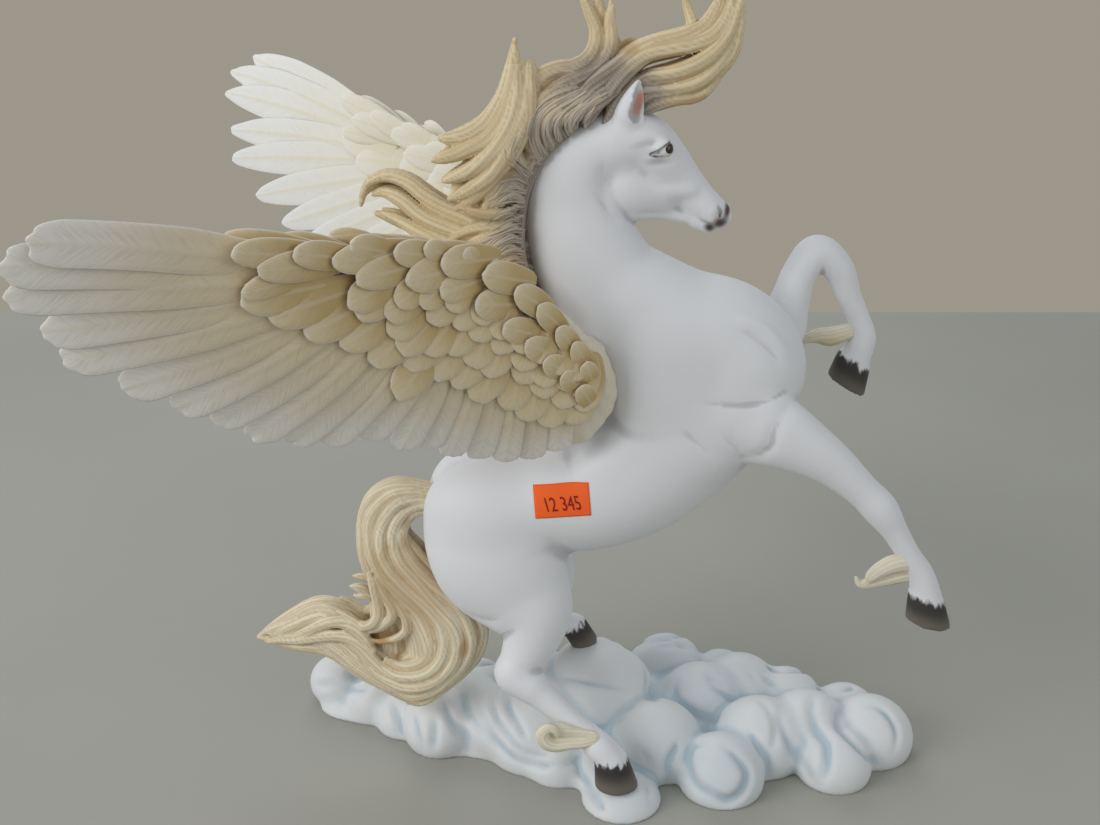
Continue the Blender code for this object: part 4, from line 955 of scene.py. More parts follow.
def feather_layer():
    """Geometry Nodes tree that lays one blade on each quill point and bends it."""
    tree = bpy.data.node_groups.new("feather_layer", "GeometryNodeTree")
    for name, kind in (("Geometry", "NodeSocketGeometry"), ("Blade", "NodeSocketObject"),
                       ("Ragged Tip", "NodeSocketFloat"), ("Finish", "NodeSocketMaterial")):
        tree.interface.new_socket(name, in_out="INPUT", socket_type=kind)
    tree.interface.new_socket("Geometry", in_out="OUTPUT", socket_type="NodeSocketGeometry")
    start = tree.nodes.new("NodeGroupInput")
    end = tree.nodes.new("NodeGroupOutput")
    blade = nodes_in(tree, "GeometryNodeObjectInfo", Object=start.outputs["Blade"])
    laid = nodes_in(tree, "GeometryNodeInstanceOnPoints", Points=start.outputs["Geometry"],
                    Instance=blade.outputs["Geometry"])
    tree.links.new(read_mark(tree, "turn", "QUATERNION"), laid.inputs["Rotation"])
    tree.links.new(read_mark(tree, "size", "FLOAT_VECTOR"), laid.inputs["Scale"])
    real = nodes_in(tree, "GeometryNodeRealizeInstances", Geometry=laid.outputs["Instances"])
    along = read_mark(tree, "along")
    rest = work_out(tree, "SUBTRACT", 1.0, along)
    hump = work_out(tree, "MULTIPLY", work_out(tree, "MULTIPLY", along, rest), 4.0)
    rise = work_out(tree, "MULTIPLY", hump, read_mark(tree, "bow"))
    sway = work_out(tree, "MULTIPLY", hump, read_mark(tree, "sweep"))
    where = nodes_in(tree, "ShaderNodeCombineXYZ",
                     X=work_out(tree, "MULTIPLY", read_mark(tree, "lateral"), 1.2),
                     Y=work_out(tree, "MULTIPLY", read_mark(tree, "seed"), 37.0),
                     Z=work_out(tree, "MULTIPLY", along, 2.0))
    tear = nodes_in(tree, "ShaderNodeTexNoise", Vector=where.outputs["Vector"], Scale=1.6, Detail=2.0)
    late = work_out(tree, "POWER", along, 5.0)
    tear = work_out(tree, "MULTIPLY", work_out(tree, "SUBTRACT", tear.outputs["Fac"], 0.5), late)
    tear = work_out(tree, "MULTIPLY", tear, start.outputs["Ragged Tip"])
    tear = work_out(tree, "MULTIPLY", tear, read_mark(tree, "length"))
    shift = nodes_in(tree, "ShaderNodeCombineXYZ", X=tear, Y=sway, Z=rise)
    turned = nodes_in(tree, "FunctionNodeRotateVector", Vector=shift.outputs["Vector"],
                      Rotation=read_mark(tree, "turn", "QUATERNION"))
    small = tree.nodes.new("ShaderNodeVectorMath")
    small.operation = "MULTIPLY"
    small.inputs[1].default_value = (MM, MM, MM)
    tree.links.new(turned.outputs["Vector"], small.inputs[0])
    bent = nodes_in(tree, "GeometryNodeSetPosition", Geometry=real.outputs["Geometry"],
                    Offset=small.outputs["Vector"])
    painted = nodes_in(tree, "GeometryNodeSetMaterial", Geometry=bent.outputs["Geometry"],
                       Material=start.outputs["Finish"])
    tree.links.new(painted.outputs["Geometry"], end.inputs["Geometry"])
    return tree


def grown(obj, tree, **inputs):
    """The plain mesh that a Geometry Nodes tree makes of an object. The object goes."""
    maker = obj.modifiers.new("maker", "NODES")
    maker.node_group = tree
    for item in tree.interface.items_tree:
        if item.in_out == "INPUT" and item.name.replace(" ", "_") in inputs:
            maker[item.identifier] = inputs[item.name.replace(" ", "_")]
    bpy.context.view_layer.update()
    depsgraph = bpy.context.evaluated_depsgraph_get()
    mesh = bpy.data.meshes.new_from_object(obj.evaluated_get(depsgraph))
    obj.modifiers.clear()
    bpy.data.objects.remove(obj)
    return mesh


def joined(name, meshes):
    """One mesh of several, with their marks kept."""
    parts = []
    for mesh in meshes:
        part = bpy.data.objects.new(name, mesh)
        bpy.context.collection.objects.link(part)
        parts.append(part)
    with bpy.context.temp_override(active_object=parts[0], object=parts[0],
                                   selected_objects=parts, selected_editable_objects=parts):
        bpy.ops.object.join()
    parts[0].name = name
    return parts[0]


def points_of(mesh):
    """Points and outward directions of a mesh in millimetres."""
    points = np.empty(len(mesh.vertices) * 3, dtype=np.float32)
    mesh.vertices.foreach_get("co", points)
    normals = np.empty(len(mesh.vertices) * 3, dtype=np.float32)
    mesh.vertex_normals.foreach_get("vector", normals)
    return points.reshape(-1, 3) / MM, normals.reshape(-1, 3)


def add_crowding(mesh, cell=0.7, reach=2.0, passes=3):
    """Mark how much of the piece stands close in front of each point: deep in a recess
    near 1, on an open face near 0."""
    points, normals = points_of(mesh)
    centres = np.empty(len(mesh.polygons) * 3, dtype=np.float32)
    mesh.polygons.foreach_get("center", centres)
    mass = np.concatenate([points, centres.reshape(-1, 3) / MM])
    low = mass.min(0) - 6 * cell
    shape = np.ceil((mass.max(0) - low) / cell).astype(int) + 7
    filled = np.zeros(shape, dtype=np.float32)
    filled[tuple(((mass - low) / cell).astype(int).T)] = 1.0
    for _ in range(passes):
        for axis in range(3):
            filled = (np.roll(filled, 1, axis) + filled * 2.0 + np.roll(filled, -1, axis)) * 0.25
    crowd = np.zeros(len(points), dtype=np.float32)
    for far in (reach * 0.6, reach, reach * 1.6):
        at = (points + normals * far - low) / cell - 0.5
        base = np.floor(at).astype(int)
        part = at - base
        for corner in range(8):
            up = np.array([corner >> k & 1 for k in range(3)])
            weight = np.prod(np.where(up, part, 1.0 - part), axis=1)
            spot = np.clip(base + up, 0, shape - 1)
            crowd += weight * filled[tuple(spot.T)] / 3.0
    add_number(mesh, "crowding", np.clip(crowd, 0.0, 1.0))


chance = np.random.default_rng(4)


def quill(tip, run, length, width, thickness, level, face, tilt, tone, pitch=0.0, sweep=0.0):
    """One feather: its tip x, z in the side view, the way it points, and its place in the
    layers. face is 1 on the near face and -1 on the other."""
    run = np.array(run) / np.linalg.norm(run)
    root = np.array(tip) - run * length
    ends = []
    for spot, rise in ((root, level - pitch), (np.array(tip), level + pitch)):
        ends.append(np.array([spot[0], float(bow(*spot)), spot[1]])
                    + bow_normal(*spot) * rise * face)
    middle = (root + np.array(tip)) / 2
    out = bow_normal(*middle) * face
    along = ends[1] - ends[0]
    size = np.linalg.norm(along)
    along /= size
    out = out - along * (out @ along)
    out /= np.linalg.norm(out)
    across = np.cross(out, along)
    lean = out * math.cos(tilt) + across * math.sin(tilt)
    side = np.cross(lean, along)
    sheet = np.array([middle[0], float(bow(*middle)), middle[1]]) + out * level
    turn = Matrix(np.array([along, side, lean]).T.tolist()).to_quaternion()
    return {"place": ends[0], "turn": tuple(turn), "size": np.array([size, width, thickness]),
            "bow": float((sheet - (ends[0] + ends[1]) / 2) @ lean), "sweep": sweep, "tone": tone,
            "seed": float(chance.random()), "length": size, "width": width}


long_blade = blade_template("long_blade", 22, 0.86, 0.15, 0.55, FLIGHT_SHAFT, 0.22, 2.3)
leaf_blade = blade_template("leaf_blade", 20, 0.70, 0.0, 0.60, FLIGHT_SHAFT, 0.22, 1.35)
short_blade = blade_template("short_blade", 10, 0.62, 0.0, 0.42, COVERT_SHAFT, 0.06, 2.0)
flight_quills, covert_quills = [], []
for k, (rx, rz, tx, tz, width) in enumerate(FLIGHT):
    run = np.array([tx - rx, tz - rz])
    length = float(np.linalg.norm(run))
    sweep = -length * 0.035 * max(1.0 - k / 7.0, 0.0)
    flight_quills.append(quill((tx, tz), run, length, width * 0.97, FLIGHT_THICKNESS,
                               0.2 * (-1) ** k, 1, -FLIGHT_TILT, 0.0, 0.0, sweep))
for row, (length, width, level, tips) in enumerate(COVERTS.values()):
    for face in (1, -1):
        for tx, tz in tips:
            wobble = chance.uniform(-1.0, 1.0, 4)
            run = barb_flow(tx, tz) + wobble[:2] * 0.05
            covert_quills.append(quill((tx + wobble[2] * 0.5, tz + wobble[3] * 0.5), run,
                                       length * (1.0 + 0.06 * wobble[0]), width * 1.1, COVERT_THICKNESS,
                                       level, face, -COVERT_TILT * face, 0.5 + 0.1 * row, 0.7))
arm_line = spline(WING_ARM, 8)
for tx, tz, length, width, level, turn in BAND:
    nearest = int(np.argmin((arm_line[:, 0] - tx) ** 2 + (arm_line[:, 2] - tz) ** 2))
    a = arm_line[max(nearest - 3, 0)]
    b = arm_line[min(nearest + 3, len(arm_line) - 1)]
    run = np.array([b[0] - a[0], b[2] - a[2]])
    turn = math.radians(turn)
    run = np.array([run[0] * math.cos(turn) + run[1] * math.sin(turn),
                    -run[0] * math.sin(turn) + run[1] * math.cos(turn)])
    for face in (1, -1):
        flat = min(max((tx - FLATTER_FROM) / FLATTER_OVER, 0.0), 1.0)
        covert_quills.append(quill((tx, tz), run, length * (1.0 + 0.25 * flat), width,
                                   COVERT_THICKNESS * (1.2 - 0.55 * flat), level * (0.8 - 0.05 * flat),
                                   face, 0.0, 0.9, BAND_PITCH))

arm = Clay(np.arange(-96.0, 30.0, 0.9), np.arange(-102.0, -10.0, 0.9), np.arange(136.0, 240.0, 0.9))
taper = np.linspace(1.0, ARM_TAPER, len(WING_ARM))
arm.limb([(x, y, z, ARM_RADIUS * t, ARM_RADIUS * 0.8 * t) for (x, y, z), t in zip(WING_ARM, taper)],
         3.0)
arm.limb([(*row, ROOT_DEPTH) for row in ROOT_PAD], 4.0)
arm_points, arm_faces = arm.skin()
arm_points = settle(arm, arm_points)
spoke = np.arctan2(arm_points[:, 2] - PAD_CENTRE[1], arm_points[:, 0] - PAD_CENTRE[0])
spread = np.hypot(arm_points[:, 0] - PAD_CENTRE[0], arm_points[:, 2] - PAD_CENTRE[1])
groove = np.abs(np.sin(spoke * PAD_GROOVES / 2 + 0.5 * np.sin(spread / 3.0 + 5.0 * spoke)))
fade = np.clip((spread - 12.0) / 6.0, 0.0, 1.0) * np.clip((arm_points[:, 0] - 4.0) / 6.0, 0.0, 1.0)
arm_slope = arm.slope(arm_points)
arm_points = arm_points - arm_slope * ((1.0 - groove) * fade * PAD_GROOVE_DEPTH)[:, None]
arm_mesh = mesh_from("wing_arm", arm_points, arm_faces)
for name, value in (("along", 0.9), ("across", 0.5), ("lateral", 0.0), ("tone", 1.0), ("seed", 0.0),
                    ("length", 0.0), ("width", 0.0)):
    add_number(arm_mesh, name, np.full(len(arm_points), value))
layer = feather_layer()


def feather_coat():
    """Shared paint of feathers: fine barbs either side of the shaft, a painted highlight along the
    rim, and a wash between that is laid deeper as painted shade where other feathers crowd in
    front. It puts out the colour and the height of the barbs."""
    colours = ("Body", "Gold", "Deep Gold", "Pad", "Tip", "Wash", "Shaft")
    tree, start, end = shared_effect(
        "feather_coat",
        [(name, "Color") for name in colours] + [("Deep From", "Float"), ("Deep To", "Float")],
        [("Colour", "Color"), ("Barbs", "Float")])
    body, gold, deep_gold, pad, tip, wash, shaft_paint = (start[name] for name in colours)
    along, across = named_number(tree, "along"), named_number(tree, "across")
    length, width = named_number(tree, "length"), named_number(tree, "width")
    seed = named_number(tree, "seed")
    side = work_out(tree, "ABSOLUTE", across)
    run = work_out(tree, "MULTIPLY", along, length)
    off = work_out(tree, "MULTIPLY", side, width)
    slant = work_out(tree, "MULTIPLY_ADD", off, -0.55, run)
    spot = tree.nodes.new("ShaderNodeCombineXYZ")
    tree.links.new(work_out(tree, "MULTIPLY", slant, 1.25), spot.inputs["X"])
    tree.links.new(work_out(tree, "MULTIPLY", off, 0.10), spot.inputs["Y"])
    tree.links.new(work_out(tree, "MULTIPLY", seed, 53.0), spot.inputs["Z"])
    barbs = tree.nodes.new("ShaderNodeTexNoise")
    barbs.inputs["Scale"].default_value = 1.0
    barbs.inputs["Detail"].default_value = 3.0
    tree.links.new(spot.outputs["Vector"], barbs.inputs["Vector"])
    barb = barbs.outputs["Fac"]
    crowd = named_number(tree, "crowding")
    # Painted shade: the wash laid deeper where other feathers crowd close in front, less at the tip.
    crowded_shade = band(tree, work_out(tree, "MULTIPLY_ADD", barb, 0.10, crowd),
                    start["Deep From"], start["Deep To"])
    crowded_shade = work_out(tree, "MULTIPLY", crowded_shade, band(tree, along, 0.98, 0.80))
    paler = band(tree, along, 0.45, 0.95)
    tone = named_number(tree, "tone")
    is_flight = band(tree, tone, 0.35, 0.05)
    covert = blend_paint(tree, band(tree, along, 0.35, 0.98), deep_gold, gold)
    flight = blend_paint(tree, band(tree, along, 0.10, 0.70), gold, body)
    paint = blend_paint(tree, is_flight, covert, flight)
    paint = blend_paint(tree, band(tree, tone, 0.94, 0.98), paint, pad)
    paint = blend_paint(tree, work_out(tree, "MULTIPLY", paler, is_flight), paint, tip)
    streak = band(tree, barb, 0.34, 0.52, 0.16, 0.0)
    paint = blend_paint(tree, streak, paint, wash)
    paint = blend_paint(tree, work_out(tree, "MULTIPLY", crowded_shade, 0.85), paint, wash)
    # Painted highlight: the rim of each feather and its very tip lightened with the tip colour.
    rim = work_out(tree, "MAXIMUM", band(tree, side, 0.86, 0.99), band(tree, along, 0.93, 0.995))
    paint = blend_paint(tree, work_out(tree, "MULTIPLY", rim, 0.55), paint, tip)
    quill_line = band(tree, side, 0.16, 0.04)
    paint = blend_paint(tree, work_out(tree, "MULTIPLY", quill_line, 0.35), paint, shaft_paint)
    tree.links.new(paint, end["Colour"])
    tree.links.new(barb, end["Barbs"])
    return tree


def feather_finish(name, coat, deep, **colours):
    """Matt resin under a coat of feather paint in a wing's own colours."""
    finish, tree, shader = new_finish(name, 0.6, 0.0)
    paint = placed(tree, coat, Deep_From=deep[0], Deep_To=deep[1],
                   **{key: (*colour, 1.0) for key, colour in colours.items()})
    tree.links.new(paint["Colour"], shader.inputs["Base Color"])
    bump = tree.nodes["grain"]
    bump.inputs["Strength"].default_value = 0.26
    bump.inputs["Distance"].default_value = 0.5 * MM
    tree.links.new(paint["Barbs"], bump.inputs["Height"])
    return finish


# The wash colours serve both the ochre wash and the painted shade under crowding feathers; the tip colours
# also paint the highlight along the rims.
NEAR_CREAM = (0.71, 0.62, 0.485)
NEAR_GOLD = (0.73, 0.615, 0.405)
NEAR_DEEP_GOLD = (0.55, 0.405, 0.185)
NEAR_PAD = (0.75, 0.69, 0.555)
NEAR_TIP = (0.79, 0.765, 0.71)
NEAR_WASH_AND_SHADE = (0.43, 0.285, 0.115)
NEAR_SHAFT = (0.72, 0.64, 0.49)
FAR_CREAM = (0.84, 0.825, 0.765)
FAR_GOLD = (0.84, 0.81, 0.72)
FAR_DEEP_GOLD = (0.78, 0.73, 0.58)
FAR_TIP = (0.87, 0.87, 0.85)
FAR_WASH_AND_SHADE = (0.74, 0.64, 0.36)
FAR_SHAFT = (0.78, 0.70, 0.42)
coat = feather_coat()
near_finish = feather_finish("near_wing_paint", coat, (0.12, 0.42), Body=NEAR_CREAM, Gold=NEAR_GOLD,
                             Deep_Gold=NEAR_DEEP_GOLD, Pad=NEAR_PAD, Tip=NEAR_TIP, Wash=NEAR_WASH_AND_SHADE,
                             Shaft=NEAR_SHAFT)
far_finish = feather_finish("far_wing_paint", coat, (0.20, 0.60), Body=FAR_CREAM, Gold=FAR_GOLD,
                            Deep_Gold=FAR_DEEP_GOLD, Pad=FAR_CREAM, Tip=FAR_TIP, Wash=FAR_WASH_AND_SHADE,
                            Shaft=FAR_SHAFT)
arm_mesh.materials.append(near_finish)
wings = []
for blade, finish, name in ((long_blade, near_finish, "near_wing"), (leaf_blade, far_finish, "far_wing")):
    flights = grown(quill_points("flight_quills", flight_quills), layer, Blade=blade,
                    Ragged_Tip=0.08, Finish=finish)
    coverts = grown(quill_points("covert_quills", covert_quills), layer, Blade=short_blade,
                    Ragged_Tip=0.14, Finish=finish)
    wings.append(joined(name, [flights, coverts, arm_mesh.copy()]))
    add_crowding(wings[-1].data)
near_wing, far_wing = wings
for old in (long_blade, leaf_blade, short_blade):
    bpy.data.objects.remove(old)
lift = Matrix.Translation(Vector(SHOULDER) * MM) @ Matrix.Rotation(FAR_WING_LIFT, 4, "Y") \
    @ Matrix.Translation(-Vector(SHOULDER) * MM) @ Matrix.Diagonal((1.0, -1.0, 1.0, 1.0))
far_wing.data.transform(lift)
far_wing.data.flip_normals()
far_wing.data.materials.clear()
far_wing.data.materials.append(far_finish)
for wing, node, slot in ((near_wing, "right_wing", "near_wing_cream"),
                         (far_wing, "left_wing", "far_wing_ivory")):
    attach(wing, "root")
    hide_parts(node)

# Cloud base: one casting heaped from puffs, with curls and folds pressed in and a flat
# underside. It is matt white with a thin blue wash that has run into the folds.
CLOUD_STEP = 1.05
PUFFS = [  # x, y, z, radius
    (-91.7, 35.9, 8, 12.0), (-74.3, 24.5, 6, 11.4), (-84.0, 46.0, 5, 12.0), (-45.0, 4.0, 8, 15.4),
    (-33.4, 15.0, 10, 14.0), (-60.0, 16.0, 3, 13.0), (-6.1, -1.6, 6, 20.0), (-20.4, 3.0, 10, 16.0),
    (66.8, -24.4, 5, 17.0), (112.2, -17.5, 5, 15.0), (130.0, -0.5, 6, 17.5), (104.2, -1.2, 10, 16.5),
    (81.0, 28.3, 8, 17.0), (63.8, 19.3, 8, 18.0), (100.2, 24.0, 6, 15.0), (51.5, 47.0, 6, 17.0),
    (22.7, 13.3, 18, 20.0), (42.3, -9.0, 8, 19.0), (84.6, -6.4, 8, 18.5), (16.9, 28.8, 13, 16.0),
    (-4.0, 27.0, 8, 19.0), (20.0, 44.0, 5, 18.0), (-32.0, 32.0, 4, 16.0), (-58.0, 34.0, 2, 14.0),
    (124.0, 18.0, 3, 14.0), (75.0, 44.0, 3, 14.0), (5.0, 8.0, 6, 20.0), (4.0, -14.0, 3, 14.0),
    (20.0, -19.0, 2, 13.0),
]
PUFF_SQUASH = 0.92
HEART = [
    (-68, 27, 30, 13, 9), (-15, 14, 44, 24, 14), (45, 14, 48, 34, 15), (98, 8, 38, 24, 13),
]
HOOF_PUFFS = [(27.4, -33.3, -0.9, 15.5, 11.6), (17.0, 20.7, 24.1, 15.5, 11.6)]
FOLDS = [  # half width, depth, points
    (2.0, 4.1, [(60, -24, 20), (55, -24, 16), (53, -29, 13), (55, -36, 9), (61, -41, 7), (68, -41, 5),
                (73, -39, 8), (75, -35, 13), (72, -32, 17), (67, -28, 20)]),
    (1.8, 2.7, [(50, -20, 18), (48, -24, 15), (46, -27, 11), (46, -28, 5), (45, -26, 0)]),
    (1.8, 2.2, [(78, -16, 20), (82, -22, 15), (85, -24, 11), (86, -25, 2)]),
    (1.6, 2.7, [(18, -34, 9), (18, -41, 6), (21, -45, 3)]),
    (1.6, 1.9, [(34, -24, 17), (38, -28, 13), (38, -33, 10), (37, -41, 4)]),
    (2.0, 3.5, [(107, 0, 26), (104, -8, 24), (105, -15, 19), (108, -22, 16), (107, -29, 11), (105, -31, 5)]),
    (2.2, 2.4, [(91, -8, 24), (91, -15, 21), (95, -21, 13), (100, -26, 7), (103, -29, 3)]),
    (2.0, 3.5, [(118, 0, 19), (115, -7, 20), (115, -14, 18), (118, -20, 16), (123, -22, 11), (130, -18, 5)]),
    (1.7, 2.2, [(119, -4, 21), (126, -3, 23), (133, -5, 21), (137, -11, 15), (136, -16, 9)]),
    (1.8, 2.7, [(52, 16, 20), (52, 9, 17), (57, 4, 15), (64, 1, 14), (70, -2, 13)]),
    (1.8, 2.7, [(66, 17, 25), (67, 11, 23), (71, 9, 20), (77, 9, 17), (84, 7, 20)]),
    (1.5, 1.6, [(83, 22, 23), (87, 16, 20), (90, 8, 20)]),
    (1.3, 1.4, [(88, 22, 20), (94, 17, 18), (100, 9, 21)]),
    (2.0, 1.9, [(45, 28, 18), (42, 14, 20), (42, 2, 22), (44, -8, 23)]),
    (1.6, 1.8, [(4, 9, 27), (12, 3, 29), (20, -1, 30), (30, -2, 29), (37, 4, 29)]),
    (0.8, 0.9, [(16, -5, 24), (24, -6, 25), (33, -4, 25)]),
    (0.8, 0.9, [(17, -7, 21), (25, -8, 22), (34, -6, 23)]),
    (0.8, 0.9, [(18, -8, 18), (26, -10, 19), (34, -9, 21)]),
    (1.8, 2.0, [(39, 14, 28), (40, 6, 25), (40, -4, 24)]),
    (1.5, 1.6, [(40, 40, 22), (48, 42, 22), (56, 43, 21), (64, 46, 17)]),
    (2.2, 2.4, [(-101, 30, 9), (-96, 26, 12), (-90, 24, 13), (-84, 24, 12), (-78, 20, 13), (-75, 22, 16)]),
    (2.6, 2.2, [(-88, 30, 15), (-82, 29, 14), (-77, 26, 15)]),
    (1.8, 2.2, [(-56, 0, 18), (-54, -6, 14), (-52, -10, 8), (-51, -10, 2)]),
    (1.8, 2.0, [(-46, -6, 19), (-46, -10, 13), (-47, -11, 5)]),
    (2.0, 2.7, [(-44, 4, 23), (-41, -4, 19), (-36, -8, 13), (-32, -9, 8)]),
    (2.0, 2.2, [(-36, 8, 22), (-33, -1, 19), (-29, -8, 16), (-25, -12, 12)]),
    (1.8, 2.4, [(-31, 8, 22), (-30, -1, 21), (-26, -9, 18), (-21, -14, 12), (-13, -20, 8), (-4, -23, 8),
                (6, -24, 9), (13, -22, 11)]),
    (1.5, 1.9, [(-23, 4, 25), (-22, -6, 21), (-17, -14, 16), (-11, -19, 12), (-4, -21, 11), (4, -22, 12)]),
    (1.5, 1.8, [(-17, 2, 25), (-16, -6, 22), (-12, -13, 19), (-8, -18, 15)]),
    (1.6, 2.2, [(11, -22, 12), (12, -27, 7), (16, -36, 6), (18, -41, 2)]),
    (1.6, 2.2, [(-65, 12, 14), (-63, 5, 9), (-61, 2, 3)]),
    (1.8, 2.4, [(-70, 47, 12), (-64, 42, 12), (-58, 45, 8)]),
    (1.8, 3.0, [(12, 62, 8), (8, 54, 17), (14, 46, 22), (24, 47, 21), (28, 55, 15)]),
    (1.6, 2.4, [(16, 58, 14), (20, 53, 18), (22, 60, 10)]),
    (1.8, 3.0, [(62, 60, 4), (68, 54, 12), (66, 46, 18), (76, 42, 17), (84, 48, 10)]),
    (1.8, 2.7, [(94, 38, 8), (92, 30, 16), (100, 26, 20), (108, 30, 14), (108, 37, 5)]),
    (1.8, 2.7, [(112, 26, 8), (116, 18, 16), (124, 18, 16), (130, 24, 8)]),
    (1.8, 2.7, [(-22, 44, 6), (-26, 36, 15), (-34, 32, 19), (-42, 38, 12), (-40, 46, 5)]),
    (1.8, 2.7, [(-92, 54, 8), (-86, 48, 15), (-80, 52, 11), (-80, 57, 5)]),
    (1.8, 2.4, [(44, 62, 8), (40, 54, 16), (46, 48, 22), (56, 52, 20), (58, 60, 10)]),
    (1.8, 2.2, [(0, 46, 8), (-6, 40, 17), (-2, 33, 25), (6, 34, 25)]),
    (1.6, 1.8, [(84, -3, 25), (88, -13, 24), (88, -19, 19), (86, -23, 14)]),
    (1.5, 1.8, [(39, 46, 17), (46, 48, 21), (53, 47, 21), (58, 42, 19)]),
    (1.4, 1.6, [(62, 12, 24), (67, 14, 24), (71, 12, 23), (71, 6, 20), (66, 5, 20), (63, 8, 22)]),
]
cloud = Clay(np.arange(-110.0, 153.0, CLOUD_STEP), np.arange(-52.0, 72.0, CLOUD_STEP),
             np.arange(-2.4 * CLOUD_STEP, 42.0, CLOUD_STEP))
for x, y, rx, ry, rz in HEART:
    cloud.ball((x, y, 0.0), (rx, ry, rz), 3.0)
for x, y, z, radius in PUFFS:
    cloud.ball((x, y, z), (radius, radius, radius * PUFF_SQUASH), 3.5)
for x, y, z, radius, height in HOOF_PUFFS:
    cloud.ball((x, y, z), (radius, radius, height), 3.0)
open_level = cloud.field.copy()
for half_width, depth, fold in FOLDS:
    cloud.press(half_width, depth, fold)
wash_depth = cloud.field - open_level
cloud.field = np.maximum(cloud.field, -cloud.axes[2][None, None, :])
points, faces = cloud.skin()
lifted = points.copy()
points = settle(cloud, points)
points[:, 2] = np.where(lifted[:, 2] < 0.35, 0.0, np.maximum(points[:, 2], 0.0))
cloud.field = wash_depth
cloud_mesh = mesh_from("cloud", points, faces)
add_number(cloud_mesh, "fold", cloud.sample(points))
add_number(cloud_mesh, "hollow", hollow_of(points, faces, 12))
cloud_base = bpy.data.objects.new("cloud", cloud_mesh)
bpy.context.collection.objects.link(cloud_base)
CLOUD_WHITE = (0.735, 0.75, 0.755)
CLOUD_BLUE = (0.42, 0.53, 0.60)
cloud_paint, tree, shader = new_finish("cloud_paint", 0.5)
runs = cloudiness(tree, 45.0, 4.0)
low_ground = work_out(tree, "ADD", band(tree, named_number(tree, "hollow"), -0.08, 0.60),
                      band(tree, named_number(tree, "fold"), -0.2, 3.4, 0.0, 0.7))
middle = near_spot(tree, (55.0, 14.0), (70.0, 20.0))
low_ground = work_out(tree, "ADD", low_ground, work_out(tree, "MULTIPLY", middle, 0.45))
wash = work_out(tree, "MULTIPLY", low_ground, band(tree, runs, 0.25, 0.65, 0.45, 1.0), clamp=True)
paint = blend_paint(tree, work_out(tree, "MULTIPLY", wash, 0.8), CLOUD_WHITE, CLOUD_BLUE)
tree.links.new(paint, shader.inputs["Base Color"])
cloud_mesh.materials.append(cloud_paint)
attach(cloud_base, "root")
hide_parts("cloud_base")

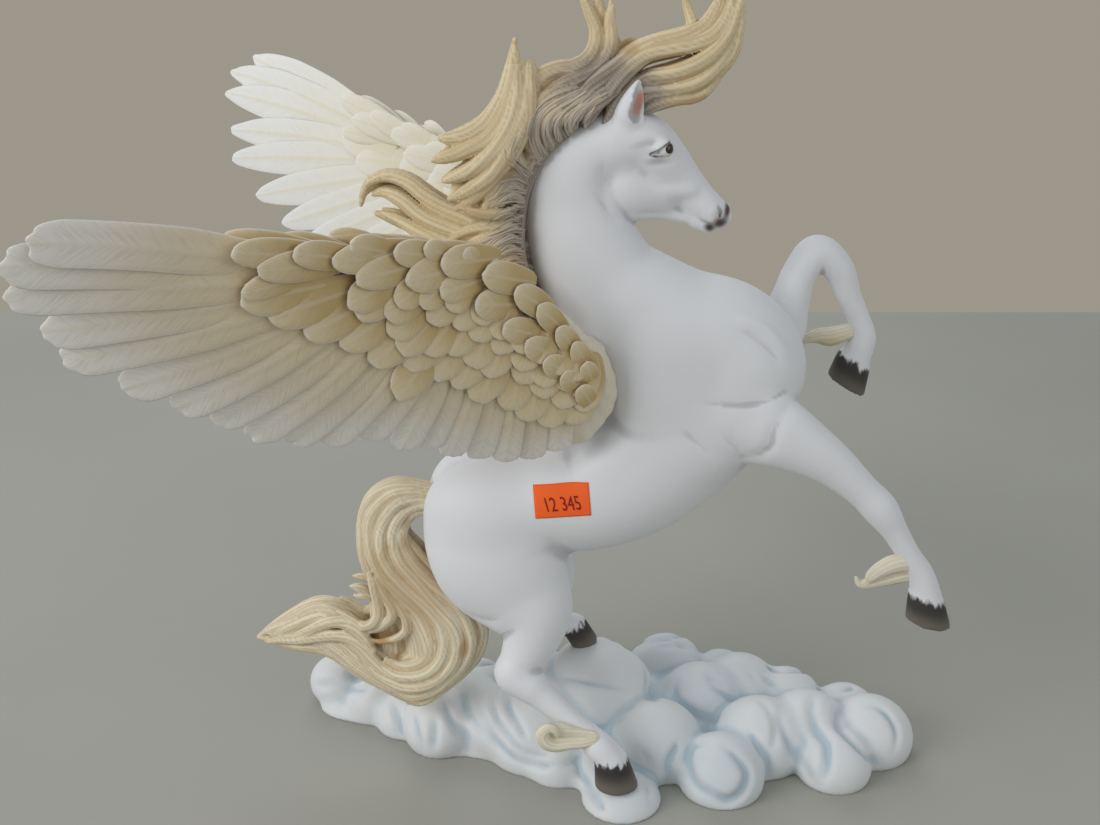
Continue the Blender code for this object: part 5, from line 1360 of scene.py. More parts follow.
# Mane: a casting of windblown locks glued along the crest, pale gold with a golden brown
# wash, partly painted shade, in the grooves and hollows, and grey brown at the roots. The
# locks are fused limbs whose surface is combed into strands, and fine strands laid on them
# cover the hairline.
MANE_STEP = 0.66
MANE_CORES = [  # x, y, z and radius in the side view
    [(9, 0, 250, 5.0), (13, 0, 257, 5.0), (20, -1, 267, 5.0), (30, -2, 276, 4.5),
     (43, -2, 279, 4.0), (52, -1, 283, 3.3), (58, 0, 291, 2.2), (60, 1, 296, 1.0)],
    [(16, -1, 253, 4.6), (21, -2, 258, 4.6), (30, -3, 264, 4.8), (40, -4, 266, 4.8),
     (50, -4, 269, 4.4), (58, -3, 275, 3.6), (61, -2, 284, 2.8), (63, 1, 296, 1.0)],
    [(3, 0, 256, 5.0), (10, 1, 267, 5.0), (16, 2, 275, 4.0), (17, 2, 283, 2.8),
     (16, 1, 291, 1.9), (15, 0, 297, 0.9)],
    [(15, 5, 254, 4.6), (19, 6, 262, 4.3), (23, 8, 272, 3.6), (22, 9, 280, 1.2)],
    [(14, 1, 269, 3.6), (4, 0, 270, 3.6), (-3, -2, 267, 3.9), (-9, -4, 260, 3.9)],
    [(-11, -5, 272, 2.8), (-10, -6, 261, 4.4), (-14, -8, 252, 5.0),
     (-21, -10, 244, 5.4), (-29, -12, 236, 3.4), (-32, -13, 231, 1.5)],
    [(-11, -5, 264, 3.2), (-17, -6, 255, 4.0), (-26, -7, 248, 4.0), (-33, -8, 245, 2.6)],
    [(22, 0, 255, 4.6), (7, 0, 254, 6.8), (-3.5, 0, 246, 7.6), (-10.5, 0, 234, 7.6),
     (-13, 0, 221, 7.2), (-13, 0, 209, 7.0), (-8.5, 0, 196, 6.4), (0, 0, 184, 5.0),
     (8, 0, 177, 3.2)],
    [(6, -6, 253, 3.4), (-4.5, -7, 245, 4.4), (-11, -7, 233, 4.8), (-13.5, -7, 219, 4.8),
     (-12.5, -8, 207, 4.6), (-8, -9, 196, 3.6), (0.5, -10, 185, 2.2)],
    [(6, 6, 253, 3.4), (-4.5, 7, 245, 4.4), (-11, 7, 233, 4.8), (-13.5, 7, 219, 4.8),
     (-12.5, 8, 207, 4.6), (-8, 9, 196, 3.6), (0.5, 10, 185, 2.2)],
    [(-4, -5.5, 252, 3.0), (-8, -6.5, 246, 3.6), (-11, -7.5, 240, 3.6)],
    [(-10, 0, 226, 5.0), (-24, 3, 218, 5.4), (-39, 6, 221, 5.4), (-51, 9, 228, 4.4),
     (-60, 11, 231, 2.6), (-67, 12, 225, 1.0)],
    [(-10, 0, 218, 4.6), (-25, 2, 213, 4.8), (-39, 5, 215, 4.2), (-51, 7, 217, 2.8),
     (-61, 8, 220, 1.2)],
    [(-10, -2, 210, 4.6), (-24, -3, 209, 4.0), (-36, -4, 210, 3.3), (-46, -4, 212, 2.3),
     (-54, -4, 214, 1.0)],
    [(-8, -3, 201, 4.8), (-19, -8, 205, 3.8), (-28, -11, 209, 2.9), (-34, -12, 211, 1.2)],
    [(0, -4, 189, 4.6), (-10, -9, 196, 3.9), (-19, -13, 202, 2.7), (-24, -15, 206, 1.2)],
    [(3, 5, 256, 4.8), (-7, 10, 248, 5.0), (-18, 14, 237, 5.0), (-26, 17, 223, 3.8),
     (-30, 18, 211, 1.3)],
    [(-9, 6, 225, 4.8), (-18, 11, 215, 4.6), (-25, 14, 201, 3.5), (-29, 15, 190, 1.3)],
]
HAIRLINE = [(30, 260.5), (26, 259), (18, 256), (11, 252), (4.5, 247), (-1, 241), (-4.2, 234),
            (-6, 226), (-6.6, 218), (-6, 210), (-4.4, 203), (-2, 196), (2, 189), (7.5, 182)]
ROOT_REACH = 21.0
ROOT_SHADE = [(9, 263), (14, 267), (19, 268)]
# Locks that lie on those, one on each side: x, the pair's middle y, how far out of it, z, radius
MANE_LOCKS = [
    [(-11.4, -4, 0.3, 280.7, 0.7), (-12.8, -4.5, 1, 271.6, 2.3), (-15.5, -6, 1.6, 262.2, 3),
     (-20.8, -8, 2, 254.8, 3.1), (-27.0, -9.5, 2, 251.2, 2.9), (-32.9, -11, 1.5, 249.7, 2.2),
     (-36.5, -11.5, 1, 250.0, 0.9)],
    [(-11.1, -4, 0.8, 276.6, 1.2), (-12.1, -5, 2.2, 267.3, 2.5), (-14.8, -7, 3, 258.1, 2.9),
     (-20.1, -9, 3.4, 250.3, 2.9), (-27.3, -11, 3.2, 246.4, 2.8), (-34.3, -12, 2.4, 244.1, 2.3),
     (-38.6, -13, 1.6, 242.9, 0.9)],
    [(-10.5, -4, 1, 274.1, 1), (-10.8, -6, 3, 263.4, 2.5), (-13.5, -8, 4, 254.2, 2.9),
     (-18.4, -10, 4.4, 246.4, 2.8), (-25.0, -12, 3.8, 240.8, 2.7), (-31.4, -13, 2.6, 237.8, 2.2),
     (-35.5, -13.5, 1.6, 236.3, 0.9)],
    [(-8.9, -4, 1, 272.2, 1), (-8.5, -6, 3, 261.8, 2.4), (-10.8, -8, 4.2, 252.6, 2.8),
     (-15.5, -10, 4.4, 244.1, 2.8), (-21.2, -12, 3.8, 237.5, 2.7), (-28.2, -13, 2.6, 232.8, 2.2),
     (-33.6, -13.5, 1.6, 230.3, 0.9)],
    [(-6.9, -4, 0.8, 272.8, 1.2), (-6.6, -6, 2.4, 263.3, 2.3), (-8.2, -8, 3.2, 255.0, 2.6),
     (-11.5, -9, 3.8, 246.8, 2.7), (-16.5, -11, 3.8, 239.9, 2.6), (-22.6, -12, 3, 233.3, 2.3),
     (-27.7, -13, 2.2, 229.0, 1.8), (-31.4, -13, 1.6, 226.5, 0.8)],
    [(-5.9, -3, 0.5, 272.0, 1.3), (-5.3, -4, 1.6, 265.8, 2), (-6.3, -5, 2.2, 259.6, 2.1),
     (-7.9, -6, 2.6, 253.3, 2), (-10.3, -8, 3, 247.5, 1.8), (-11.6, -9, 3.4, 242.8, 0.9)],
    [(-6.0, -1, 1, 263.4, 1.6), (-3.0, -1, 1.4, 268.0, 2.8), (2.0, 0, 1.6, 270.1, 3),
     (7.9, 0, 1.6, 270.8, 3.1), (12.6, 0, 1.4, 273.3, 3.2), (15.1, 0, 1.2, 277.8, 2.9),
     (15.1, 0, 0.9, 283.2, 2.4), (13.1, 0, 0.6, 288.2, 2), (11.4, 0, 0.3, 292.2, 1.5),
     (10.7, 0, 0, 295.3, 0.7)],
    [(-0.7, -1, 3, 263.7, 2), (5.3, -1, 3, 266.3, 2.7), (11.2, 0, 2.8, 268.4, 3),
     (16.5, 0, 2.2, 271.5, 3.1), (19.4, 0, 1.6, 276.2, 2.8), (20.0, 0, 1.2, 281.3, 2.4),
     (19.6, 0, 0.8, 286.3, 1.8), (20.2, 0, 0.4, 289.7, 1.3), (19.9, 0, 0, 291.9, 0.7)],
    [(18.8, 4, 0, 270.4, 1.8), (22.1, 5, 0, 274.2, 2), (25.4, 6, 0, 277.6, 1.8),
     (28.1, 7, 0, 278.8, 1.3), (29.2, 7, 0, 276.6, 0.7)],
    [(9.3, -1, 6, 256.9, 1), (11.9, -1, 6, 263.4, 2.4), (16.4, -1, 5, 267.8, 2.8),
     (22.9, -2, 3.6, 272.9, 2.9), (29.4, -2, 2.6, 277.2, 2.8), (36.6, -2, 2.2, 280.0, 2.6),
     (44.4, -2, 2, 281.9, 2.6), (50.9, -1, 1.6, 284.9, 2.4), (54.4, 0, 1, 290.1, 2),
     (55.9, 0, 0.4, 294.7, 0.9)],
    [(13.3, -1, 6.6, 254.4, 1), (16.5, -1, 5.8, 260.8, 2.2), (21.0, -2, 4.8, 266.3, 2.8),
     (26.2, -2, 4.4, 271.7, 2.8), (32.0, -2, 4, 276.1, 2.7), (39.1, -2, 3.6, 277.6, 2.7),
     (46.3, -2, 3.2, 278.9, 2.7), (53.1, -2, 2.4, 281.9, 2.5), (57.6, -1, 1.4, 287.7, 2),
     (59.5, 0, 0.4, 294.1, 0.9)],
    [(17.9, -1, 6, 253.7, 1), (21.5, -1, 4.6, 260.0, 2.2), (26.4, -2, 3, 264.8, 2.7),
     (33.0, -2, 2.6, 268.3, 2.8), (39.8, -4, 4, 270.3, 2.8), (47.0, -4, 3.6, 272.8, 2.8),
     (53.2, -3, 3, 276.4, 2.6), (58.0, -2, 2.2, 282.2, 2.3), (60.9, -1, 1, 289.2, 1.6),
     (62.7, 0, 0.4, 294.4, 0.8)],
    [(22.0, -1, 3.4, 254.6, 1), (26.7, -1, 2.4, 259.0, 2.2), (32.5, -2, 2.2, 262.7, 2.7),
     (37.6, -3, 3, 264.3, 2.8), (43.3, -4, 3.6, 265.8, 2.7), (49.8, -4, 3, 268.3, 2.6),
     (55.1, -3, 2.4, 272.9, 2.3), (58.9, -2, 1.6, 279.0, 1.9), (61.1, -1, 0.8, 284.5, 1)],
    [(27.4, -1, 2, 255.0, 1.2), (33.3, -2, 1.8, 258.7, 2.2), (41.6, -4, 2.8, 261.8, 2.3),
     (47.6, -4, 2, 262.3, 2.2), (52.1, -4, 1.4, 264.8, 1.9), (56.1, -3, 1, 269.2, 1.2)],
    [(46.0, 0, 1, 280.0, 2), (46.5, 0, 0.6, 285.0, 1.8), (45.2, 1, 0.4, 289.3, 1.5),
     (44.1, 1, 0.2, 293.1, 1), (43.7, 1, 0, 295.5, 0.6)],
    [(-17.0, -3, 7, 217.8, 2.4), (-25.9, -3, 5, 220.8, 2.8), (-34.9, -1, 3.4, 223.7, 3),
     (-42.6, 1, 2.4, 228.3, 3), (-48.9, 3, 1.6, 232.5, 2.8), (-56.0, 5, 1.2, 234.1, 2.3),
     (-62.1, 6, 0.8, 232.0, 1.8), (-65.0, 7, 0.4, 227.9, 1.3), (-66.3, 7, 0, 223.2, 0.7)],
    [(-15.3, -3, 8, 215.3, 2.2), (-25.6, -3, 6, 216.8, 2.6), (-35.7, -1, 4.6, 218.8, 3),
     (-44.8, 1, 3.6, 222.3, 3), (-51.7, 3, 2.8, 226.9, 2.8), (-57.5, 5, 1.8, 228.6, 2),
     (-61.6, 6, 1, 227.5, 0.9)],
    [(-15.4, -3, 8, 211.8, 2), (-26.0, -3, 6, 211.9, 2.5), (-36.5, -1, 5, 213.3, 2.8),
     (-45.6, 1, 4, 216.4, 2.6), (-52.7, 3, 3, 219.9, 2), (-58.5, 5, 2, 221.6, 0.9)],
    [(-17.8, -3, 8, 207.5, 1.8), (-27.5, -3, 6, 207.0, 2.2), (-37.4, -1, 4.4, 208.1, 2.2),
     (-45.9, 1, 3.2, 210.5, 1.8), (-52.4, 3, 2.4, 212.3, 0.9)],
    [(-9.4, -1, 9.6, 227.6, 1), (-14.1, -2, 10.6, 225.3, 1.6), (-19.4, -4, 11, 224.9, 1.9),
     (-24.7, -6, 10, 225.8, 1.7), (-28.7, -8, 8, 227.1, 0.9)],
    [(-9.5, -1, 9.8, 223.5, 1), (-14.9, -2, 10.2, 221.8, 1.6), (-20.9, -3, 9.6, 220.5, 2),
     (-27.8, -3, 8, 218.7, 1.8), (-33.6, -2, 6, 215.2, 0.9)],
    [(-3.7, -1, 8.7, 241.6, 1.2), (-6.9, -1, 8.8, 246.9, 1.9), (-7.5, -1, 7.8, 253.3, 2.6),
     (-4.1, -1, 6.4, 259.6, 2.8), (1.6, -1, 4.8, 263.3, 2.7), (7.9, -1, 3.8, 265.1, 1.6)],
    [(-1.7, -1, 8.8, 243.3, 1.2), (-4.6, -1, 9, 248.6, 1.8), (-4.5, -1, 8.2, 254.7, 2.4),
     (-0.8, -1, 6.8, 259.7, 2.7), (4.9, -1, 5.2, 262.7, 2.6), (11.2, -1, 3.8, 265.1, 1.5)],
    [(0.7, -1, 8.8, 245.9, 1), (-1.3, -1, 9, 251.2, 1.6), (-0.5, -1, 8.2, 256.3, 2.3),
     (3.2, -1, 6.8, 260.0, 2.6), (8.5, -1, 5.4, 262.4, 2.3), (14.5, -1, 4.2, 265.8, 1.4)],
    [(3.3, -1, 8.6, 248.5, 1), (2.1, -1, 8.8, 253.2, 1.6), (3.6, -1, 8.2, 257.3, 2.3),
     (7.4, -1, 7, 260.4, 2.4), (12.5, -1, 5.8, 263.4, 1.5)],
    [(6.6, -1, 8.4, 250.8, 1), (5.8, -1, 8.8, 254.8, 1.6), (7.2, -1, 8.2, 258.3, 2.2),
     (11.0, -1, 7, 261.0, 2.2), (15.8, -1, 5.8, 264.1, 1.4)],
    [(7.6, -1, 8.4, 252.1, 1.1), (8.4, -1, 8.6, 256.1, 2), (11.5, -1, 8, 259.9, 2.3),
     (15.9, -1, 7, 262.9, 2.2), (21.0, -1, 6, 266.0, 1.2)],
    [(11.9, -1, 8, 253.3, 1.1), (13.2, -1, 8, 257.6, 2), (16.8, -1, 7.2, 261.4, 2.3),
     (21.7, -1, 6, 264.7, 1.4)],
    [(-6.4, -1, 9.3, 237.7, 1), (-9.7, -1, 9.7, 241.4, 1.8), (-11.6, -2, 9.2, 245.8, 2.3),
     (-9.9, -3, 7.8, 251.7, 2.4), (-7.3, -3, 5.8, 256.6, 1.5)],
    [(-8.0, -1, 9.6, 236.4, 1.1), (-11.7, -1, 10, 239.8, 2), (-14.3, -2, 9.6, 242.6, 2.4),
     (-15.2, -3, 8.6, 246.6, 2.4), (-13.2, -4, 7, 251.1, 1.4)],
    [(-8.0, -1, 9.6, 234.4, 1), (-11.7, -1, 10.2, 237.2, 1.8), (-15.3, -2, 10, 236.7, 2.2),
     (-18.0, -4, 9.8, 234.0, 2), (-20.7, -6, 8.8, 230.6, 1.1)],
    [(-8.7, -1, 9.9, 231.7, 1), (-12.7, -1, 10.6, 233.9, 1.8), (-16.7, -2, 10.4, 232.7, 2.2),
     (-19.7, -4, 9.8, 230.0, 1.9), (-22.0, -6, 8.8, 227.9, 1.1)],
    [(-9.1, -1, 10.2, 228.7, 1), (-12.8, -1, 11, 230.6, 1.8), (-17.3, -2, 10.8, 229.1, 2),
     (-20.1, -4, 9.8, 227.3, 1.2)],
    [(-9.5, -1, 10.7, 218.6, 1), (-13.5, -1, 11.4, 219.8, 1.8), (-18.6, -2, 10.6, 218.1, 2.3),
     (-23.1, -3, 8.8, 215.5, 2.3), (-28.0, -3, 6.8, 213.2, 1.2)],
    [(-9.9, -1, 11, 214.8, 1), (-13.9, -1, 11.6, 216.4, 1.8), (-18.3, -2, 10.8, 214.7, 2.3),
     (-22.2, -3, 8.8, 211.6, 2.3), (-26.7, -3, 6.8, 209.3, 1.2)],
    [(-9.5, -1, 11.3, 211.1, 1), (-13.6, -1, 11.8, 212.6, 1.8), (-17.7, -2, 11.2, 211.0, 2.3),
     (-21.2, -3, 9.4, 207.9, 2), (-24.7, -3, 7.8, 205.4, 1.2)],
    [(-9.2, -1, 11.6, 207.3, 1), (-12.9, -1, 12.2, 208.9, 1.8), (-16.7, -2, 11.6, 207.2, 2.2),
     (-19.5, -3, 9.8, 204.2, 1.9), (-22.0, -3, 8.8, 201.7, 1.1)],
    [(-8.2, -1, 12, 203.5, 1), (-11.9, -1, 12.6, 205.4, 1.8), (-15.4, -1, 12, 203.5, 2.2),
     (-17.8, -2, 10.8, 200.6, 1.8), (-19.6, -2, 9.8, 198.2, 1.1)],
    [(-7.2, -1, 12.4, 199.7, 1), (-10.4, -1, 13, 201.7, 1.8), (-13.6, -1, 12.4, 199.7, 2),
     (-15.1, -2, 11.8, 197.0, 1.2)],
    [(-5.8, -1, 12.8, 195.9, 1), (-8.7, -1, 13.4, 197.9, 1.8), (-11.6, -1, 12.8, 195.9, 1.9),
     (-13.1, -1, 11.8, 193.1, 1.1)],
    [(-4.1, -1, 13.2, 192.1, 1), (-6.6, -1, 13.8, 194.1, 1.6), (-9.2, -1, 13.4, 192.5, 1.8),
     (-10.7, -1, 12.8, 189.8, 1.1)],
]
FIRST_ROOTS = 21
COMB_SPACING = 2.1
COMB_DEPTH = 0.55
MANE_SHADOWS = [  # x, z, radii, tilt, strength
    ((-26, 212), (9, 4), 5, 0.8), ((39, 274), (8, 2), -14, 0.75),
    ((-13, 206), (6, 8), 0, 0.5), ((-3, 190), (9, 8), 30, 0.5),
    ((46, 261), (13, 2), -12, 0.6), ((26, 278), (4, 3), 0, 0.6),
    ((-15, 240), (4, 7), 20, 0.35), ((-27, 227), (10, 3), 10, 0.35),
]
STRANDS_BETWEEN = 7
STRAND_RADIUS = 0.42


def paired(locks, mate=1.0):
    """The lock on the near side and its mate on the far side, with their half width across."""
    out = []
    for rows in locks:
        for side in (-1, mate):
            out.append([(x, y + side * far, z, r, r * 0.9) for x, y, far, z, r in rows])
    return out


def lock_lines(locks, per_span=6):
    """Middle line of each lock: points, radii, how far along, and two directions across it."""
    out = []
    for lock in locks:
        rows = spline(lock, per_span)
        rows[:, 3:] = np.maximum(rows[:, 3:], 0.4)
        along = np.gradient(rows[:, :3], axis=0)
        along /= np.linalg.norm(along, axis=1)[:, None]
        across = np.array([0.0, 1.0, 0.0]) - along * along[:, 1:2]
        across /= np.linalg.norm(across, axis=1)[:, None]
        steps = np.linalg.norm(np.diff(rows[:, :3], axis=0), axis=1)
        out.append((rows, np.concatenate([[0.0], np.cumsum(steps)]), along, across,
                    np.cross(along, across)))
    return out


def comb(points, lines, spacing, depth, twist=0.12):
    """Height of the strands at each point, their depth as a share, and a place along the hair."""
    best = np.full(len(points), FAR_AWAY)
    height, groove = np.zeros(len(points)), np.zeros(len(points))
    place = np.zeros((len(points), 3))
    for number, (rows, run, along, across, side) in enumerate(lines):
        draw = chance.uniform(-1.0, 1.0, 5)
        reach = rows[:, 3:].max() + 3.0
        near = np.flatnonzero(((points > rows[:, :3].min(0) - reach)
                               & (points < rows[:, :3].max(0) + reach)).all(1))
        spread = ((points[near, None, :] - rows[None, :, :3]) ** 2).sum(2)
        spot = spread.argmin(1)
        off = points[near] - rows[spot, :3]
        r, w = rows[spot, 3], rows[spot, 4]
        s = (off * side[spot]).sum(1) / r
        q = (off * across[spot]).sum(1) / w
        o = (off * along[spot]).sum(1)
        gap = (np.hypot(s, q) - 1.0) * np.minimum(r, w) + np.maximum(np.abs(o) - 1.5, 0.0)
        closer = gap < best[near]
        near, s, q, o, spot = near[closer], s[closer], q[closer], o[closer], spot[closer]
        r, w = r[closer], w[closer]
        best[near] = gap[closer]
        far = run[spot] + o
        share = far / run[-1]
        count = max(int(round(math.pi * (rows[:, 3].max() + rows[:, 4].max()) / spacing)), 3)
        amount = chance.uniform(0.35, 1.0, 2 * count + 1)
        sway = 0.30 * np.sin(far / 9.0 + 3.0 * draw[0]) + 0.16 * np.sin(far / 4.1 + 3.0 * draw[1])
        turn = np.arctan2(q, s) / (2 * math.pi) + twist * draw[2] * share
        strand = count * turn + sway
        which = np.floor(strand).astype(int)
        wide = np.abs(np.sin(math.pi * strand)) * amount[which % count]
        wide *= 0.8 + 0.2 * np.sin(far / 5.0 + 2.1 * which)
        thread = (2 * count + 1) * turn + 1.7 * sway + draw[3]
        fine = np.abs(np.sin(math.pi * thread))
        fine *= amount[np.floor(thread).astype(int) % (2 * count + 1)]
        lift = 0.75 * wide + 0.35 * fine
        size = np.clip(np.minimum(r, w) / 3.4, 0.25, 1.15)
        height[near] = depth * size * (lift - 0.5)
        groove[near] = np.clip(1.0 - lift * 1.4, 0.0, 1.0)
        angle = 2 * math.pi * turn
        across_strands = count / 5.0
        place[near] = np.stack([across_strands * np.cos(angle), across_strands * np.sin(angle),
                                far / 14.0 + 7.3 * number], axis=1)
    return height, groove, place


def normals_of(points, faces):
    """Direction out of a mesh at its points."""
    a, b, c, d = (points[faces[:, k]] for k in range(4))
    flat = np.cross(c - a, d - b)
    out = np.zeros_like(points)
    for k in range(3):
        for corner in range(4):
            out[:, k] += np.bincount(faces[:, corner], flat[:, k], len(points))
    return out / np.maximum(np.linalg.norm(out, axis=1), 1e-9)[:, None]


def combed_hair(name, cores, locks, low, high, step, softness, spacing, depth):
    """Skin of fused locks, combed into strands, with the numbers that its paint reads."""
    heap = Clay(*(np.arange(a, b, step) for a, b in zip(low, high)))
    for lock in cores:
        heap.limb(lock, 1.6, per_span=5)
    for lock in locks:
        heap.limb(lock, softness, per_span=5)
    points, faces = heap.skin()
    points = settle(heap, points)
    height, groove, place = comb(points, lock_lines(cores + locks), spacing, depth)
    hollow = hollow_of(points, faces, 5)
    points = points + normals_of(points, faces) * height[:, None]
    mesh = mesh_from(name, points, faces)
    add_number(mesh, "groove", groove)
    add_number(mesh, "hollow", hollow)
    away = np.full(len(points), FAR_AWAY)
    for x, z in [*spline(HAIRLINE, 4), *ROOT_SHADE]:
        away = np.minimum(away, np.hypot(points[:, 0] - x, points[:, 2] - z))
    add_number(mesh, "rootward", 1.0 - np.clip(away / ROOT_REACH, 0.0, 1.0))
    comb_mark = mesh.attributes.new("comb", "FLOAT_VECTOR", "POINT")
    comb_mark.data.foreach_set("vector", place.astype(np.float32).ravel())
    return mesh, heap


def on_the_side(fields, x, z, side, start):
    """Height y of the outermost surface over points of the side view, or nan beside it."""
    ys = np.arange(start, 0.5, -0.25)
    grid = np.stack([np.repeat(x, len(ys)), np.tile(ys * side, len(x)), np.repeat(z, len(ys))], axis=1)
    gap = np.min([field.sample(grid.astype(np.float32)) for field in fields], axis=0)
    gap = gap.reshape(len(x), len(ys))
    inside = gap < 0.0
    first = inside.argmax(1)
    y = ys[first] + 0.25 * np.clip(-gap[np.arange(len(x)), first] / 0.25, 0.0, 1.0)
    return np.where(inside.any(1), y * side, np.nan)


def strand_lines(name, strands):
    """Lines through the strands, with what their points carry."""
    points, edges, radius, root = [], [], [], []
    count = 0
    for line, thick, rootward in strands:
        edges += [(count + i, count + i + 1) for i in range(len(line) - 1)]
        count += len(line)
        points.append(line)
        radius.append(np.maximum(thick, 0.1) * MM)
        root.append(rootward)
    mesh = bpy.data.meshes.new(name)
    mesh.from_pydata(np.concatenate(points) * MM, edges, [])
    add_number(mesh, "thick", np.concatenate(radius))
    add_number(mesh, "rootward", np.concatenate(root))
    lines = bpy.data.objects.new(name, mesh)
    bpy.context.collection.objects.link(lines)
    return lines


def hair_tree():
    """Geometry Nodes tree that gives each line a round strand with closed ends."""
    tree = bpy.data.node_groups.new("hair_strands", "GeometryNodeTree")
    for name, kind in (("Geometry", "NodeSocketGeometry"), ("Sides", "NodeSocketInt"),
                       ("Finish", "NodeSocketMaterial")):
        tree.interface.new_socket(name, in_out="INPUT", socket_type=kind)
    tree.interface.new_socket("Geometry", in_out="OUTPUT", socket_type="NodeSocketGeometry")
    start = tree.nodes.new("NodeGroupInput")
    end = tree.nodes.new("NodeGroupOutput")
    line = nodes_in(tree, "GeometryNodeMeshToCurve", Mesh=start.outputs["Geometry"])
    sized = nodes_in(tree, "GeometryNodeSetCurveRadius", Curve=line.outputs["Curve"],
                     Radius=read_mark(tree, "thick", "FLOAT"))
    ring = nodes_in(tree, "GeometryNodeCurvePrimitiveCircle", Resolution=start.outputs["Sides"],
                    Radius=1.0)
    tube = nodes_in(tree, "GeometryNodeCurveToMesh", Curve=sized.outputs["Curve"],
                    Profile_Curve=ring.outputs["Curve"], Fill_Caps=True)
    if "Scale" in tube.inputs:
        tree.links.new(read_mark(tree, "thick", "FLOAT"), tube.inputs["Scale"])
    smooth = nodes_in(tree, "GeometryNodeSetShadeSmooth", Geometry=tube.outputs["Mesh"])
    real = nodes_in(tree, "GeometryNodeRealizeInstances", Geometry=smooth.outputs["Geometry"])
    painted = nodes_in(tree, "GeometryNodeSetMaterial", Geometry=real.outputs["Geometry"],
                       Material=start.outputs["Finish"])
    tree.links.new(painted.outputs["Geometry"], end.inputs["Geometry"])
    return tree


def hair_coat():
    """Shared paint of hair: a golden brown wash in the strands' grooves and the hollows between
    locks, which is partly painted shade there and turns darker and greyer at the roots. It puts
    out the colour and the height of the hair's lines."""
    colours = ("Body", "Wash", "Root Body", "Root Wash")
    tree, start, end = shared_effect("hair_coat", [(name, "Color") for name in colours],
                                     [("Colour", "Color"), ("Lines", "Float")])
    body, wash, root_body, root_wash = (start[name] for name in colours)
    place = tree.nodes.new("ShaderNodeAttribute")
    place.attribute_name = "comb"
    lines = tree.nodes.new("ShaderNodeTexNoise")
    lines.inputs["Scale"].default_value = 3.4
    lines.inputs["Detail"].default_value = 3.0
    tree.links.new(place.outputs["Vector"], lines.inputs["Vector"])
    line = lines.outputs["Fac"]
    patch = cloudiness(tree, 70.0, 2.0)
    root = band(tree, work_out(tree, "MULTIPLY_ADD", patch, 0.5, named_number(tree, "rootward")),
                0.45, 1.15)
    # Painted shade with the wash: the darker colour goes into the strands' grooves and the hollows.
    groove = work_out(tree, "MULTIPLY_ADD", line, 0.35, named_number(tree, "groove"))
    sunk = band(tree, groove, 0.25, 1.0)
    deep = band(tree, named_number(tree, "hollow"), 0.03, 0.26)
    amount = work_out(tree, "MAXIMUM", work_out(tree, "MULTIPLY", sunk, 0.75), deep)
    amount = work_out(tree, "MULTIPLY", amount, band(tree, root, 0.0, 1.0, 0.66, 1.0))
    top = blend_paint(tree, root, body, root_body)
    bottom = blend_paint(tree, root, wash, root_wash)
    tree.links.new(blend_paint(tree, amount, top, bottom), end["Colour"])
    tree.links.new(line, end["Lines"])
    return tree


def hair_finish(name, coat, body, wash, root_body, root_wash, amber, places):
    """Matt resin under a coat of hair paint, with amber shadows at places x, z with their
    radii, tilt and strength."""
    finish, tree, shader = new_finish(name, 0.6, 0.3)
    hair = placed(tree, coat, Body=(*body, 1.0), Wash=(*wash, 1.0), Root_Body=(*root_body, 1.0),
                  Root_Wash=(*root_wash, 1.0))
    paint, line = hair["Colour"], hair["Lines"]
    for spot, radii, tilt, strength in places:
        here = work_out(tree, "MULTIPLY", near_spot(tree, spot, radii, tilt), 1.6)
        here = band(tree, work_out(tree, "MULTIPLY_ADD", line, 0.5, here), 0.3, 1.4, 0.0, strength)
        paint = blend_paint(tree, here, paint, amber)
    tree.links.new(paint, shader.inputs["Base Color"])
    tree.links.new(line, tree.nodes["grain"].inputs["Height"])
    return finish


mane_pairs = paired(MANE_LOCKS)
mane_mesh, mane_clay = combed_hair("mane_clay", [[(x, y, z, r, r * 0.8) for x, y, z, r in lock]
                                                 for lock in MANE_CORES], mane_pairs,
                                   (-72, -24, 172), (66, 24, 302), MANE_STEP, 0.7, COMB_SPACING,
                                   COMB_DEPTH)
MANE_CREAM = (0.75, 0.635, 0.42)
MANE_WASH_AND_SHADE = (0.43, 0.27, 0.095)
MANE_ROOT = (0.43, 0.375, 0.31)
MANE_ROOT_WASH_AND_SHADE = (0.17, 0.12, 0.09)
MANE_AMBER = (0.47, 0.28, 0.11)
hair_paint = hair_coat()
mane_paint = hair_finish("mane_paint", hair_paint, MANE_CREAM, MANE_WASH_AND_SHADE, MANE_ROOT, MANE_ROOT_WASH_AND_SHADE,
                         MANE_AMBER, MANE_SHADOWS)
mane_mesh.materials.append(mane_paint)
mane_strands = []
roots = []
for rows in MANE_LOCKS[FIRST_ROOTS:]:
    line = spline([(x, z) for x, y, far, z, r in rows], 10)
    roots.append(line[np.linspace(0, len(line) - 1, 18).astype(int)])
for first, second in zip(roots[:-1], roots[1:]):
    if np.abs(first - second).max() > 15.0:
        continue
    for k in range(STRANDS_BETWEEN):
        draw = chance.uniform(-1.0, 1.0, 4)
        part = (k + 0.5 + 0.3 * draw[0]) / STRANDS_BETWEEN
        line = first * (1 - part) + second * part
        line = line[:int(len(line) * (0.78 + 0.2 * draw[1]))]
        share = np.linspace(0.0, 1.0, len(line))
        x = line[:, 0] + 0.9 * (1 - share) ** 2 * draw[2] + 0.5 * np.sin(5 * share + 6 * part)
        z = line[:, 1] + 0.5 * np.cos(5 * share + 6 * part)
        for side in (-1, 1):
            y = on_the_side((horse_clay, mane_clay), x, z, side, 22.0)
            if np.isnan(y).any():
                continue
            thick = STRAND_RADIUS * (0.35 + 1.5 * np.sqrt(share * (1 - share))) * (1 + 0.3 * draw[3])
            mane_strands.append((np.stack([x, y, z], axis=1), thick, 1.0 - 0.5 * share))
